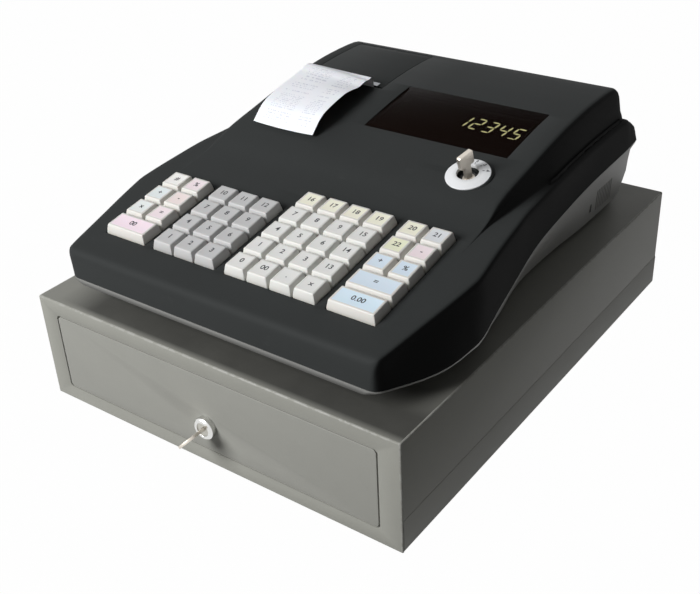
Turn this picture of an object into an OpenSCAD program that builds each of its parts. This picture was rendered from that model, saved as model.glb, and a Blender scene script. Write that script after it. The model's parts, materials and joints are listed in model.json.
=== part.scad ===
// Electronic cash register: a keyboard unit with display and receipt printer on a cash drawer.
// X is to the right, Y to the back, Z up. The origin is on the floor under the middle of the whole,
// from the drawer key to the back of the drawer.

/* [Cash drawer] */
// Width of the drawer case
drawer_w = 312; // [300:1:340]
// Depth of the drawer case from front face to back
drawer_d = 384; // [376:1:410]
// Height of the drawer case without its feet
drawer_h = 84.4; // [80:0.2:110]
// Thickness of the steel sheet
sheet_t = 1.2; // [0.8:0.1:1.6]
// Height of the side seam above the bottom of the case
seam_h = 25; // [18:1:34]
// Width of the front frame beside the drawer panel
frame_side = 16.5; // [15:0.5:20]
// Height of the front frame above the drawer panel
frame_top = 11.6; // [8:0.2:14]
// Height of the front frame under the drawer panel
frame_bottom = 10.9; // [8:0.1:12]
// Gap round the drawer panel
panel_gap = 0.9; // [0.6:0.1:1.4]
// Corner radius of the panel and of its opening
panel_r = 3; // [2:0.5:6]
// Depth of the panel's folded edges
panel_depth = 12; // [12:0.5:16]
// Height of the rubber feet under the drawer
foot_h = 2.5; // [2:0.5:6]
// Diameter of the rubber feet under the drawer
foot_d = 22; // [14:1:30]
// How far the drawer opens
drawer_travel = 270; // [200:5:280]

/* [Money tray] */
// Length of the steel tray behind the panel
tray_l = 330; // [320:1:336]
// Height of the steel tray
tray_h = 50; // [40:1:54]
// Clearance between tray and panel opening at each side
tray_side_gap = 13.5; // [13:0.5:18]
// Wall of the plastic till insert
till_wall = 2.4; // [1.6:0.2:3]
// Height of the till insert
till_h = 44; // [36:1:48]
// Number of note compartments
note_count = 4; // [3:1:5]
// Number of coin compartments
coin_count = 5; // [4:1:6]
// Length of the coin compartments
coin_l = 92; // [70:1:120]
// Length of the note clips
clip_l = 80; // [60:1:100]
// Diameter of the rod that the note clips turn on
clip_rod_d = 4; // [3:0.5:5]

/* [Drawer lock] */
// Height of the lock above the bottom of the case
lock_z = 31.7; // [27:0.1:44]
// Diameter of the chrome lock head
lock_head_d = 16.5; // [15:0.5:20]
// How far the lock head stands proud of the panel
lock_head_h = 5; // [3:0.5:8]
// Diameter of the turning plug
plug_d = 10; // [9:0.5:12]
// Length of the key outside the lock
key_l = 21; // [18:0.5:28]
// Width of the key's bow
key_bow_w = 17; // [14:0.5:22]
// Thickness of the key
key_t = 2; // [1.4:0.2:2.6]

/* [Slides and latch] */
// Diameter of the rollers on the tray
tray_roller_d = 20; // [16:0.5:20]
// Diameter of the rollers on the rails
case_roller_d = 16; // [12:0.5:16]
// Width of the rollers
roller_w = 6; // [4:0.5:7]
// Diameter of the roller axles
axle_d = 5; // [4:0.5:6]
// Radial clearance of everything that turns on a pin
run_gap = 0.05; // [0.03:0.01:0.09]
// Wire of the ejector spring
spring_wire = 1.2; // [0.8:0.1:1.6]
// Outer diameter of the ejector spring
spring_d = 14; // [10:0.5:18]
// Number of coils of the ejector spring
spring_turns = 7; // [5:1:9]

/* [Register unit] */
// Distance of the unit's nose behind the drawer's front face
unit_setback = 13.3; // [10:0.1:20]
// Length of the unit from nose to rear band
unit_l = 366.4; // [360:0.2:368]
// Greatest width of the unit, at the skirt beside the keyboard
unit_w = 307.4; // [300:0.2:311]
// Wall of the moulded covers
wall = 2.5; // [2:0.1:3]
// Height of the nose's top edge above the drawer
nose_top = 39; // [37:0.5:44]
// Slope of the keyboard deck
deck_angle = 9.38; // [8:0.01:11]
// Edge radius of the nose
nose_r = 5; // [3:0.5:8]
// Radius of the shoulder and hump edges
edge_r = 4; // [2:0.5:6]
// Length of the raised housing behind the deck
hump_l = 233.1; // [230:0.1:236]
// Height of the raised housing above the drawer
hump_h = 93.3; // [92:0.1:98]
// Inset of the raised housing's top from the unit's greatest width
hump_in = 30.8; // [29.8:0.1:34]
// Inward lean of the raised housing's sides, as run over rise
hump_lean = 0.38; // [0.3:0.01:0.42]
// Height of the cover's lower edge above the drawer at the front
skirt_z = 17.3; // [16.5:0.1:18.5]
// Height of the grey rim under the front of the cover
rim_h = 4.3; // [3:0.1:6]
// Gap between the cover and the base under it
seam_gap = 0.4; // [0.2:0.1:0.8]
// Height of the base's rubber feet on the drawer
pad_h = 1.9; // [1.5:0.1:3]

/* [Keyboard] */
// Margin between the keyboard and the greatest width of the unit
kb_margin = 38.8; // [38:0.1:41]
// Gap between neighbouring keys
key_gap = 1.3; // [1:0.1:2]
// Gap between the blocks of keys
block_gap = 8.65; // [7:0.1:9]
// Shift of the keyboard from the middle
kb_shift = -2.55; // [-4:0.1:0]
// Distance of the front row from the nose
kb_front = 26.9; // [26:0.1:28]
// Distance of the rear row from the raised housing
kb_rear = 13.95; // [13:0.05:16]
// Height of the keys above the deck
key_h = 6.5; // [5.5:0.1:9]
// How far a cap narrows at each side towards its top
key_taper = 1.3; // [0.6:0.1:2]
// How far a key travels
key_travel = 3.5; // [2:0.1:3.6]
// Clearance round a block of keys in the deck
key_clear = 0.8; // [0.5:0.1:1.2]
// Width of a key's stem
stem_w = 6; // [4:0.5:8]
// Clearance of a stem in the guide plate
stem_gap = 0.2; // [0.1:0.05:0.4]

/* [Display and mode lock] */
// Distance of the display window from the printer's lid
window_gap = 19.5; // [19.5:0.1:26]
// Distance of the display window from the unit's right side
window_in = 52.3; // [52:0.1:56]
// Length of the display window along the slope
window_l = 63.6; // [56:0.2:66]
// Distance of the window's front edge from the unit's rear
window_back = 161.6; // [160:0.1:163]
// Thickness of the display window
window_t = 2; // [1.5:0.1:3]
// Distance of the mode lock from the unit's right side
mode_in = 66.1; // [62:0.1:74]
// Distance of the mode lock from the unit's rear
mode_back = 190.6; // [187:0.1:194]
// Diameter of the white ring round the mode lock
mode_plate_d = 32; // [28:0.5:34]
// Slope of the mode lock's ring
mode_slope = 17; // [12:0.5:18]
// Diameter of the mode lock's barrel
mode_barrel_d = 15.6; // [13:0.2:17]

/* [Receipt printer] */
// Width of the receipt paper
paper_w = 57.5; // [56:0.5:58]
// Distance of the printer's middle from the unit's left side
printer_in = 79; // [77:0.1:81]
// Distance of the paper slot from the unit's rear
slot_back = 109.4; // [109:0.1:110.4]
// Width of the paper slot from front to back
slot_w = 3.2; // [2.6:0.1:4]
// Width of the printer's lid
lid_w = 72; // [70:0.5:74]
// Gap round the printer's lid
lid_gap = 0.5; // [0.4:0.1:0.8]
// Thickness of the receipt paper's solid
paper_t = 0.4; // [0.3:0.05:0.6]
// Diameter of the paper roll
roll_d = 50; // [36:1:52]
// Diameter of the platen roller
platen_d = 14; // [12:0.5:14]

/* [Electronics] */
// Width of the main circuit board
board_w = 128; // [110:1:134]
// Length of the main circuit board
board_l = 62; // [50:1:70]
// Width of the transformer's core
core_w = 50; // [40:1:54]
// Length of the transformer's core
core_l = 42; // [34:1:46]
// Height of the transformer's core
core_h = 36; // [28:1:40]

/* [Base and inlet] */
// Number of louvres at each side of the base
louvre_count = 9; // [6:1:11]
// Distance between louvres
louvre_pitch = 3.2; // [2.6:0.1:3.4]
// Bore of the cord inlet
cord_bore_d = 6.6; // [5:0.1:8]
// Diameter of the case screws
screw_d = 2.8; // [2.4:0.1:3.2]

/* [Hidden] */
$fn = 48;
eps = 0.01;

// Main levels and places
case_z = foot_h;
case_top = case_z + drawer_h;
key_out = lock_head_h + key_l;
front_y = (key_out - drawer_d) / 2;
back_y = front_y + drawer_d;
nose_y = front_y + unit_setback;
opening_w = drawer_w - 2 * frame_side;
opening_z0 = case_z + frame_bottom;
opening_z1 = case_top - frame_top;

// Smooth curve through knots [place, value] in rising order
function knot(k, u, i = 0) = (i >= len(k) - 2 || u < k[i + 1][0]) ? i : knot(k, u, i + 1);
function rise(k, i) = let (a = max(i - 1, 0), b = min(i + 1, len(k) - 1))
  (k[b][1] - k[a][1]) / (k[b][0] - k[a][0]);
function curve(k, u) = let (i = knot(k, u), h = k[i + 1][0] - k[i][0],
  t = min(max((u - k[i][0]) / h, 0), 1), t2 = t * t, t3 = t2 * t)
  (2 * t3 - 3 * t2 + 1) * k[i][1] + (t3 - 2 * t2 + t) * h * rise(k, i)
  + (3 * t2 - 2 * t3) * k[i + 1][1] + (t3 - t2) * h * rise(k, i + 1);

// Outline of the register unit. u runs along the unit from its nose, s is u over the unit's length.
// Insets are measured from half the greatest width, heights from the top of the drawer.
skirt_inset = [[0, 24], [0.03, 17.5], [0.07, 9.4], [0.1, 4.8], [0.14, 1.4], [0.19, 0.2], [0.218, 0],
  [0.294, 4.3], [0.367, 9], [0.5, 15.7], [0.635, 19.4], [0.764, 20.4], [0.94, 21.3], [1, 22.7]];
deck_inset = [[0, 22.5], [0.032, 19.8], [0.066, 17.6], [0.113, 14.6], [0.18, 10.2], [0.23, 7.4],
  [0.245, 6.8], [0.262, 7], [0.338, 10.2], [0.41, 12.8], [0.467, 15.4], [0.586, 18.4],
  [0.717, 21.4], [0.82, 23.2], [1, 24.4]];
skirt_rise = [[0, 0], [0.229, 0], [0.293, 3.9], [0.367, 6.6], [0.502, 14.3], [0.634, 17.6],
  [0.764, 21.8], [0.942, 23.6], [1, 24.1]];
shoulder_drop = [[0.3, 0], [0.338, 0.3], [0.412, 1.6], [0.489, 4.7], [0.617, 11.3], [0.734, 17.9],
  [0.873, 26.9], [1, 35.5]];
hump_shape = [[0, 0], [0.06, 0.10], [0.13, 0.275], [0.21, 0.405], [0.36, 0.565], [0.52, 0.735],
  [0.7, 0.89], [0.88, 0.98], [1, 1]];
rear_fall = [[0, 0], [12, 0.1], [22, 0.6], [27, 1.5], [30, 3.6], [32, 6.4], [40.7, 30.2], [43, 32.5],
  [46.4, 33.8], [53, 38.6], [55.4, 43.5]];
base_inset = [[0, 27], [0.03, 20.7], [0.07, 12.8], [0.1, 8.6], [0.14, 5.4], [0.2, 4.6], [0.27, 8.8],
  [0.32, 13], [0.367, 15.9], [0.45, 22.5], [0.52, 25.1], [0.635, 25.1], [0.74, 23.3],
  [0.88, 23.2], [1, 24.6]];

half_w = unit_w / 2;
hump_w = unit_w - 2 * hump_in;
deck_l = unit_l - hump_l;
window_u = unit_l - window_back;
mode_u = unit_l - mode_back;
slot_u = unit_l - slot_back;
printer_x = printer_in - half_w;
mode_x = half_w - mode_in;
window_x0 = printer_x + lid_w / 2 + window_gap;
window_w = half_w - window_in - window_x0;
window_x = window_x0 + window_w / 2;
hump_top_u = unit_l - 55.4;
hump_top_l = hump_top_u - deck_l;
deck_rise = tan(deck_angle);
ramp_u = 0.19 * unit_l;
tub_u = 0.318 * unit_l;
base_end_u = unit_l - 27.1;
corner_r = 5;

function round_in(d, r) = d < r ? r - sqrt(max(r * r - (r - d) * (r - d), 0)) : 0;
function deck_z(u) = case_top + nose_top + deck_rise * u;
hump_z0 = deck_z(deck_l);
hump_z1 = case_top + hump_h;
function top_z(u) = u <= deck_l ? deck_z(u) - round_in(u, nose_r)
  : u <= hump_top_u ? hump_z0 + (hump_z1 - hump_z0) * curve(hump_shape, (u - deck_l) / hump_top_l)
  : hump_z1 - lookup(u - hump_top_u, rear_fall);
function in_top_z(u, w) = w == 0 ? top_z(u)
  : min(top_z(u), top_z(min(u + w, unit_l)), top_z(max(u - w, 0))) - w;
function side_z(u) = case_top + skirt_z + curve(skirt_rise, u / unit_l);
function ledge_z(u) = u < 0.3 * unit_l ? top_z(u)
  : min(deck_z(u) - curve(shoulder_drop, u / unit_l), top_z(u));
function skirt_x(u) = half_w - curve(skirt_inset, u / unit_l) - round_in(u, corner_r);
function deck_x(u) = half_w - curve(deck_inset, u / unit_l) - round_in(u, corner_r);
function base_x(u) = half_w - curve(base_inset, u / unit_l) - round_in(u, corner_r);
function floor_z(u) = u < ramp_u ? case_top + skirt_z - rim_h
  : u < tub_u ? case_top + skirt_z - rim_h
    - (skirt_z - rim_h - pad_h) * (1 - cos(180 * (u - ramp_u) / (tub_u - ramp_u))) / 2
  : u < base_end_u ? case_top + pad_h
  : case_top + pad_h + lookup(u - base_end_u, [[0, 0], [7.6, 8.3], [17.1, 17.7], [18, 30], [27.1, 37]]);

// Right half of the cover's section, from its lower edge to the middle of its top
function cover_half(u, w) = let (
  zt = in_top_z(u, w), zb = side_z(u), r = edge_r,
  zs = min(ledge_z(u) - w, zt), h = max(zt - zs, 0),
  xb = skirt_x(u) - w, xs = deck_x(u) - w,
  xt = min(hump_w / 2 - w, xs - r - 2 * w - 1), rs = min(r, (zs - zb) / 3), rt = min(r, h / 2),
  xf = min(xt + hump_lean * h, xs - rs - 0.6))
  [[xb, zb], [(2 * xb + xs) / 3, zb + (zs - rs - zb) * 0.4], [xs + 0.2, zs - rs],
   [xs - 0.29 * rs, zs - 0.29 * rs], [xs - rs, zs],
   [xf + 0.3, zs + rt * 0.05], [xf - (xf - xt) * 0.3, zs + h * 0.3], [xt - 0.3 + 0.1 * rt, zt - rt],
   [xt - 0.6 - 0.29 * rt, zt - 0.29 * rt], [xt - 1 - rt, zt], [0.45 * xt, zt]];
function mirror_half(h) = concat([for (i = [0:len(h) - 1]) [h[i][0], h[i][1]]],
  [for (i = [len(h) - 1:-1:0]) [-h[i][0], h[i][1]]]);

function in_floor_z(u, w) = w == 0 ? floor_z(u)
  : max(floor_z(u), floor_z(min(u + w, unit_l)), floor_z(max(u - w, 0))) + w;

// Right half of the base's section, from its upper edge to the middle of its floor
function base_half(u, w) = let (
  zt = side_z(u) - seam_gap, zf = min(in_floor_z(u, w), zt - 1.2), xt = skirt_x(u) - w, xb = base_x(u) - w,
  xm = xb + (xt - xb) * 0.35, zm = zf + (zt - zf) * 0.5)
  [[xt, zt], [xt - 0.3, max(zt - 2, zm + 0.5)], [xm, zm], [xb, zf + min(2, (zt - zf) / 4)],
   [xb - 2, zf], [xb * 0.5, zf]];

// Shell between two sets of sections: a closed solid that is open along the sections' ends
module shell(outer, inner, ys, yi, flip) {
  n = len(outer);
  m = len(outer[0]);
  function hub(k, y) = [0, y, (k[0][1] + k[m / 2][1]) / 2];
  pts = concat([for (i = [0:n - 1]) for (p = outer[i]) [p[0], ys[i], p[1]]],
    [for (i = [0:n - 1]) for (p = inner[i]) [p[0], yi[i], p[1]]],
    [hub(outer[0], ys[0]), hub(outer[n - 1], ys[n - 1]), hub(inner[0], yi[0]),
     hub(inner[n - 1], yi[n - 1])]);
  function o(i, j) = i * m + j;
  function q(i, j) = n * m + i * m + j;
  function quad(a, b, c, d) = [[a, b, c], [a, c, d]];
  faces = [
    for (i = [0:n - 2]) for (j = [0:m - 2])
      for (t = quad(o(i, j), o(i, j + 1), o(i + 1, j + 1), o(i + 1, j))) t,
    for (i = [0:n - 2]) for (j = [0:m - 2])
      for (t = quad(q(i, j), q(i + 1, j), q(i + 1, j + 1), q(i, j + 1))) t,
    for (i = [0:n - 2]) for (t = quad(o(i, 0), o(i + 1, 0), q(i + 1, 0), q(i, 0))) t,
    for (i = [0:n - 2])
      for (t = quad(o(i, m - 1), q(i, m - 1), q(i + 1, m - 1), o(i + 1, m - 1))) t,
    for (j = [0:m - 1]) let (k = (j + 1) % m) [2 * n * m, o(0, k), o(0, j)],
    for (j = [0:m - 1]) let (k = (j + 1) % m) [2 * n * m + 1, o(n - 1, j), o(n - 1, k)],
    for (j = [0:m - 1]) let (k = (j + 1) % m) [2 * n * m + 2, q(0, j), q(0, k)],
    for (j = [0:m - 1]) let (k = (j + 1) % m) [2 * n * m + 3, q(n - 1, k), q(n - 1, j)],
    for (t = quad(o(0, 0), q(0, 0), q(0, m - 1), o(0, m - 1))) t,
    for (t = quad(o(n - 1, 0), o(n - 1, m - 1), q(n - 1, m - 1), q(n - 1, 0))) t];
  polyhedron(pts, flip ? [for (f = faces) [f[2], f[1], f[0]]] : faces, convexity = 8);
}

// Stations along the unit: close together at the nose, the shoulder kink and the rear
stations = concat([0, 0.6, 1.8, 3.4, 5.4, 9], [for (u = [18:10:78]) u],
  [for (u = [86:5:101]) u], [for (u = [110:9:299]) u],
  [for (d = [0, 9, 16, 20, 23, 32, 40.7, 43, 46.4, 53, 55.4]) hump_top_u + d]);
function inset_station(u, w) = w + u * (unit_l - 2 * w) / unit_l;

// Local frames
mode_rise = 1;
module on_deck() {
  translate([0, nose_y + kb_front, deck_z(kb_front)]) rotate([deck_angle, 0, 0]) children();
}
module on_mode() {
  translate([mode_x, nose_y + mode_u, top_z(mode_u) + mode_rise]) rotate([mode_slope, 0, 0])
    children();
}
window_slope = atan((top_z(window_u + window_l) - top_z(window_u)) / window_l);
module on_window() {
  translate([window_x, nose_y + window_u, top_z(window_u) + 0.1]) rotate([window_slope, 0, 0])
    children();
}
module rounded(w, h, r) {
  square([w - 2 * r, h], center = true);
  square([w, h - 2 * r], center = true);
  for (x = [-1, 1], y = [-1, 1]) translate([x * (w / 2 - r), y * (h / 2 - r)]) circle(r);
}
module both_sides() {
  children();
  mirror([1, 0, 0]) children();
}
// Plate in the YZ plane, from x0 and t thick
module side_plate(x0, t) {
  translate([x0, 0, 0]) rotate([90, 0, 90]) linear_extrude(t) children();
}
module x_rod(x0, x1, y, z, d) {
  translate([x0, y, z]) rotate([0, 90, 0]) cylinder(h = x1 - x0, d = d);
}

// Cash drawer case
lip_l = 10;
module front_opening(grow, l) {
  translate([0, front_y - 1, (opening_z0 + opening_z1) / 2]) rotate([-90, 0, 0])
    linear_extrude(l) rounded(opening_w + 2 * grow, opening_z1 - opening_z0 + 2 * grow, panel_r + grow);
}
module drawer_case() {
  color("dimgray") difference() {
    union() {
      difference() {
        translate([-drawer_w / 2, front_y, case_z]) cube([drawer_w, drawer_d, drawer_h]);
        translate([-drawer_w / 2 + sheet_t, front_y + sheet_t, case_z - 1])
          cube([drawer_w - 2 * sheet_t, drawer_d - 2 * sheet_t, drawer_h + 1 - sheet_t]);
        translate([-drawer_w / 2 - 1, front_y + sheet_t, case_z - 1])
          cube([drawer_w + 2, drawer_d, seam_h + 1]);
      }
      front_opening(sheet_t, lip_l + 1);
    }
    front_opening(0, lip_l + 2);
    translate([-drawer_w / 2 - 1, front_y - 2, case_z]) cube([drawer_w + 2, 2, drawer_h]);
  }
}

pan_gap = 0.3;
joggle_h = 8;
module drawer_pan() {
  w = drawer_w;
  y0 = front_y + sheet_t + pan_gap;
  color("gray") difference() {
    union() {
      translate([-w / 2, y0, case_z]) cube([w, back_y - y0, seam_h - pan_gap]);
      translate([-w / 2 + sheet_t + 0.1, y0, case_z])
        cube([w - 2 * sheet_t - 0.2, back_y - sheet_t - 0.1 - y0, seam_h + joggle_h]);
    }
    translate([-w / 2 + 2 * sheet_t + 0.1, y0 - 1, case_z + sheet_t])
      cube([w - 4 * sheet_t - 0.2, back_y - y0 + 1 - 2 * sheet_t - 0.1, drawer_h]);
  }
}

foot_in = 26;
pad_d = 16;
pad_x = half_w - 41.7;
pad_places = [[pad_x, tub_u + pad_d], [pad_x, unit_l - 4 * pad_d]];
module rubber_feet() {
  color("black") both_sides() {
    for (y = [front_y + foot_in, back_y - foot_in])
      translate([drawer_w / 2 - foot_in, y, 0]) cylinder(h = foot_h, d = foot_d);
    for (p = pad_places)
      translate([p[0], nose_y + p[1], case_top]) cylinder(h = pad_h, d = pad_d);
  }
}

// Slides: a rail with a web and an upper and lower flange, and an axle for its front roller
rail_in = opening_w / 2 - tray_side_gap + 2;
rail_out = opening_w / 2 - 0.8;
rail_t = 1.5;
pan_top = case_z + sheet_t;
track_z = opening_z0 + 24.6;
rail_y0 = front_y + lip_l + 3;
rail_y1 = back_y - 14;
roller_y = rail_y0 + case_roller_d / 2 + 2;
tray_roller_z = track_z + rail_t + tray_roller_d / 2 + 0.2;
case_roller_z = track_z - 4.8 - case_roller_d / 2;
roller_x = rail_in + 0.8;
module slide_rails() {
  z1 = tray_roller_z + tray_roller_d / 2 + 1.2;
  color("silver") both_sides() {
    translate([rail_out - rail_t, rail_y0, pan_top]) cube([rail_t, rail_y1 - rail_y0, z1 - pan_top]);
    translate([rail_out - rail_t, rail_y0 + 20, pan_top]) cube([12, rail_y1 - rail_y0 - 20, rail_t]);
    translate([rail_in, rail_y0 + 20, track_z]) cube([rail_out - rail_in, rail_y1 - rail_y0 - 20, rail_t]);
    translate([rail_in, rail_y0 + 20, z1]) cube([rail_out - rail_in, rail_y1 - rail_y0 - 20, rail_t]);
    x_rod(roller_x - 1, rail_out - rail_t / 2, roller_y, case_roller_z, axle_d - 2 * run_gap);
  }
}
module roller(d) {
  difference() {
    cylinder(h = roller_w, d = d);
    translate([0, 0, -1]) cylinder(h = roller_w + 2, d = axle_d);
  }
}
module case_rollers() {
  color("white") both_sides()
    translate([roller_x, roller_y, case_roller_z]) rotate([0, 90, 0]) roller(case_roller_d);
}

// Moving drawer: panel, tray with its runners, rollers and till
panel_z = (opening_z0 + opening_z1) / 2;
panel_h = opening_z1 - opening_z0 - 2 * panel_gap;
panel_w = opening_w - 2 * panel_gap;
lock_y = front_y;
lock_h = case_z + lock_z;
lock_body_d = plug_d + 5;
module panel_plate(y, l, inset) {
  translate([0, y, panel_z]) rotate([-90, 0, 0])
    linear_extrude(l) rounded(panel_w - 2 * inset, panel_h - 2 * inset, panel_r - min(inset, panel_r - 0.5));
}
module drawer_front() {
  color("gray") difference() {
    panel_plate(front_y, panel_depth, 0);
    panel_plate(front_y + sheet_t, panel_depth, sheet_t);
    translate([0, front_y - 1, lock_h]) rotate([-90, 0, 0])
      cylinder(h = panel_depth, d = lock_body_d + 2 * run_gap);
  }
}

tray_x = opening_w / 2 - tray_side_gap;
tray_y = front_y + panel_depth;
tray_z = opening_z0 + panel_gap + 1.2;
runner_z = track_z - 4.8 + 0.2;
tray_roller_y = tray_y + tray_l - tray_roller_d / 2 - 2;
module drawer_tray() {
  color("silver") difference() {
    union() {
      translate([-tray_x, tray_y, tray_z]) cube([2 * tray_x, tray_l, tray_h]);
      panel_plate(tray_y - sheet_t, sheet_t + eps, sheet_t + 0.1);
      both_sides() {
        translate([tray_x - eps, tray_y, runner_z])
          cube([rail_out - rail_t - 0.8 - tray_x, tray_l - 4, 1.4]);
        x_rod(tray_x - eps, roller_x + roller_w + 1, tray_roller_y, tray_roller_z, axle_d - 2 * run_gap);
      }
      translate([latch_x - 6, tray_y + tray_l - eps, latch_z - 1.5]) cube([12, striker_l, 3]);
    }
    translate([-tray_x + sheet_t, tray_y + sheet_t, tray_z + sheet_t])
      cube([2 * (tray_x - sheet_t), tray_l - 2 * sheet_t, tray_h]);
  }
}
module tray_rollers() {
  color("white") both_sides()
    translate([roller_x, tray_roller_y, tray_roller_z]) rotate([0, 90, 0]) roller(tray_roller_d);
}

till_gap = 0.8;
till_x = tray_x - sheet_t - till_gap;
till_y = tray_y + sheet_t + till_gap;
till_l = tray_l - 2 * (sheet_t + till_gap);
till_z = tray_z + sheet_t;
note_l = till_l - coin_l - 3 * till_wall;
note_y = till_y + coin_l + 2 * till_wall;
note_w = (2 * till_x - (note_count + 1) * till_wall) / note_count;
coin_w = (2 * till_x - (coin_count + 1) * till_wall) / coin_count;
rod_y = note_y + note_l - 14;
rod_z = till_z + till_h - 6;
module till_insert() {
  color("black") difference() {
    translate([-till_x, till_y, till_z]) cube([2 * till_x, till_l, till_h]);
    for (i = [0:note_count - 1])
      translate([-till_x + till_wall + i * (note_w + till_wall), note_y, till_z + till_wall])
        cube([note_w, note_l, till_h]);
    for (i = [0:coin_count - 1])
      translate([-till_x + till_wall + i * (coin_w + till_wall), till_y + till_wall, till_z + till_wall])
        cube([coin_w, coin_l, till_h]);
  }
  color("black") x_rod(-till_x + eps, till_x - eps, rod_y, rod_z, clip_rod_d);
}

clip_w = 14;
clip_hub_d = clip_rod_d + 4;
clip_drop = rod_z - till_z - till_wall - 4;
clip_lean = asin(clip_drop / clip_l);
module bill_clips() {
  color("dimgray") for (i = [0:note_count - 1])
    translate([-till_x + till_wall + note_w / 2 + i * (note_w + till_wall), rod_y, rod_z])
      rotate([clip_lean, 0, 0]) difference() {
        union() {
          translate([-clip_w / 2, 0, 0]) rotate([0, 90, 0]) cylinder(h = clip_w, d = clip_hub_d);
          translate([-clip_w / 2, -clip_l, -1]) cube([clip_w, clip_l, 2]);
          translate([-clip_w, -clip_l, -1.6]) cube([2 * clip_w, 16, 2.6]);
        }
        translate([-clip_w, 0, 0]) rotate([0, 90, 0])
          cylinder(h = 2 * clip_w, d = clip_rod_d + 2 * run_gap);
      }
}

// Drawer lock: barrel, plug with its cam, and key, turned by lock_turn
lock_turn = -45;
barrel_l = panel_depth - 4;
slot_l = 14;
module at_lock() {
  translate([0, lock_y, lock_h]) rotate([90, 0, 0]) children();
}
module drawer_lock() {
  color("silver") at_lock() difference() {
    union() {
      cylinder(h = lock_head_h - 1.2, d = lock_head_d);
      translate([0, 0, lock_head_h - 1.2]) cylinder(h = 1.2, d1 = lock_head_d, d2 = lock_head_d - 2.4);
      translate([0, 0, -barrel_l]) cylinder(h = barrel_l + 1, d = lock_body_d);
    }
    translate([0, 0, -barrel_l - 1]) cylinder(h = barrel_l + lock_head_h + 2, d = plug_d + 2 * run_gap);
  }
}
module lock_plug() {
  color("gray") at_lock() rotate([0, 0, lock_turn]) difference() {
    union() {
      translate([0, 0, -barrel_l - 0.4]) cylinder(h = barrel_l + lock_head_h, d = plug_d);
      translate([-3, -4, -barrel_l - 2.4]) cube([6, 16, 2]);
    }
    translate([-key_t / 2 - 0.1, -3.2, lock_head_h - slot_l]) cube([key_t + 0.2, 6.4, slot_l + 1]);
  }
}
// Key with its blade in the slot: the bow is a disc with flats and a hole
module key_shape(out, bow) {
  neck = 7;
  rotate([0, 90, 0]) translate([0, 0, -key_t / 2]) linear_extrude(key_t) difference() {
    union() {
      translate([-out + bow / 2, 0]) circle(d = bow);
      translate([-out + bow * 0.7, -3]) square([out - bow * 0.7 + slot_l - 1, 6]);
      translate([-out + bow * 0.7, -neck / 2]) square([bow * 0.45, neck]);
    }
    translate([-out + bow * 0.2, 0]) circle(d = bow * 0.22);
  }
}
module drawer_key() {
  color("silver") at_lock() rotate([0, 0, lock_turn]) translate([0, 0, lock_head_h])
    key_shape(key_l, key_bow_w);
}

// Latch at the back of the drawer: a striker on the tray, a hooked lever and a solenoid that pulls it
latch_in = 116;
latch_x = drawer_w / 2 - latch_in;
latch_z = tray_z + 14;
striker_l = 9;
lever_y = tray_y + tray_l + 24;
lever_x = latch_x + 34;
lever_t = 3;
lever_arm = lever_x - latch_x - 6.6;
pin_d = 5;
plunger_d = 8;
plunger_y = lever_y - 9;
plunger_z = latch_z - lever_t / 2 - 12;
solenoid_x = lever_x + 20;
solenoid_w = 22;
solenoid_l = 32;
module latch_lever() {
  color("silver") translate([lever_x, lever_y, latch_z - lever_t / 2]) difference() {
    union() {
      cylinder(h = lever_t, d = 13);
      translate([-lever_arm, -4.5, 0]) cube([lever_arm, 9, lever_t]);
      translate([-lever_arm, -17, 0]) cube([6, 14, lever_t]);
      translate([-4.5, -14, 0]) cube([9, 14, lever_t]);
    }
    translate([0, 0, -1]) cylinder(h = lever_t + 2, d = pin_d + 2 * run_gap);
  }
}
module latch_solenoid() {
  color("goldenrod") difference() {
    translate([solenoid_x, plunger_y - solenoid_w / 2, pan_top])
      cube([solenoid_l, solenoid_w, plunger_z + solenoid_w / 2 - pan_top]);
    x_rod(solenoid_x - 1, solenoid_x + 28, plunger_y, plunger_z, plunger_d + 2 * run_gap);
  }
  color("silver") {
    translate([lever_x - 7, lever_y - 5, pan_top]) cube([solenoid_x - lever_x + 8, 10, 1.2]);
    translate([lever_x, lever_y, pan_top]) cylinder(h = latch_z + 4 - pan_top, d = pin_d);
    translate([lever_x, lever_y, pan_top]) cylinder(h = latch_z - lever_t / 2 - 0.3 - pan_top, d = 8);
  }
}
module solenoid_plunger() {
  color("silver") {
    x_rod(lever_x - 11, solenoid_x + 22, plunger_y, plunger_z, plunger_d);
    translate([lever_x - 7.1, plunger_y, plunger_z]) cylinder(h = latch_z + 2 - plunger_z, d = 4);
  }
}
spring_x = -60;
spring_l = back_y - 2 * sheet_t - 0.4 - (tray_y + tray_l) - 0.6;
function helix(t, r, l) = [r * cos(360 * spring_turns * t), r * sin(360 * spring_turns * t), l * t];
module ejector_spring() {
  r = (spring_d - spring_wire) / 2;
  l = spring_l - spring_wire;
  steps = spring_turns * 10;
  sides = 6;
  pitch = l / spring_turns;
  lead = atan(pitch / (2 * PI * r));
  echo(least_gap = pitch - spring_wire);
  pts = [for (i = [0:steps]) let (c = helix(i / steps, r, l), a = 360 * spring_turns * i / steps)
    for (k = [0:sides - 1]) let (t = 360 * k / sides,
        e = spring_wire / 2 * cos(t), f = spring_wire / 2 * sin(t))
      c + [e * cos(a) + f * sin(a) * sin(lead), e * sin(a) - f * cos(a) * sin(lead), f * cos(lead)]];
  color("silver") translate([spring_x, tray_y + tray_l + 0.3 + spring_wire / 2, latch_z]) rotate([-90, 0, 0])
    polyhedron(pts, [
      for (i = [0:steps - 1]) for (k = [0:sides - 1])
        let (a = i * sides + k, b = i * sides + (k + 1) % sides)
        for (f = [[a, b, b + sides], [a, b + sides, a + sides]]) f,
      for (k = [1:sides - 2]) [0, k + 1, k],
      for (k = [1:sides - 2]) [steps * sides, steps * sides + k, steps * sides + k + 1]]);
}

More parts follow.
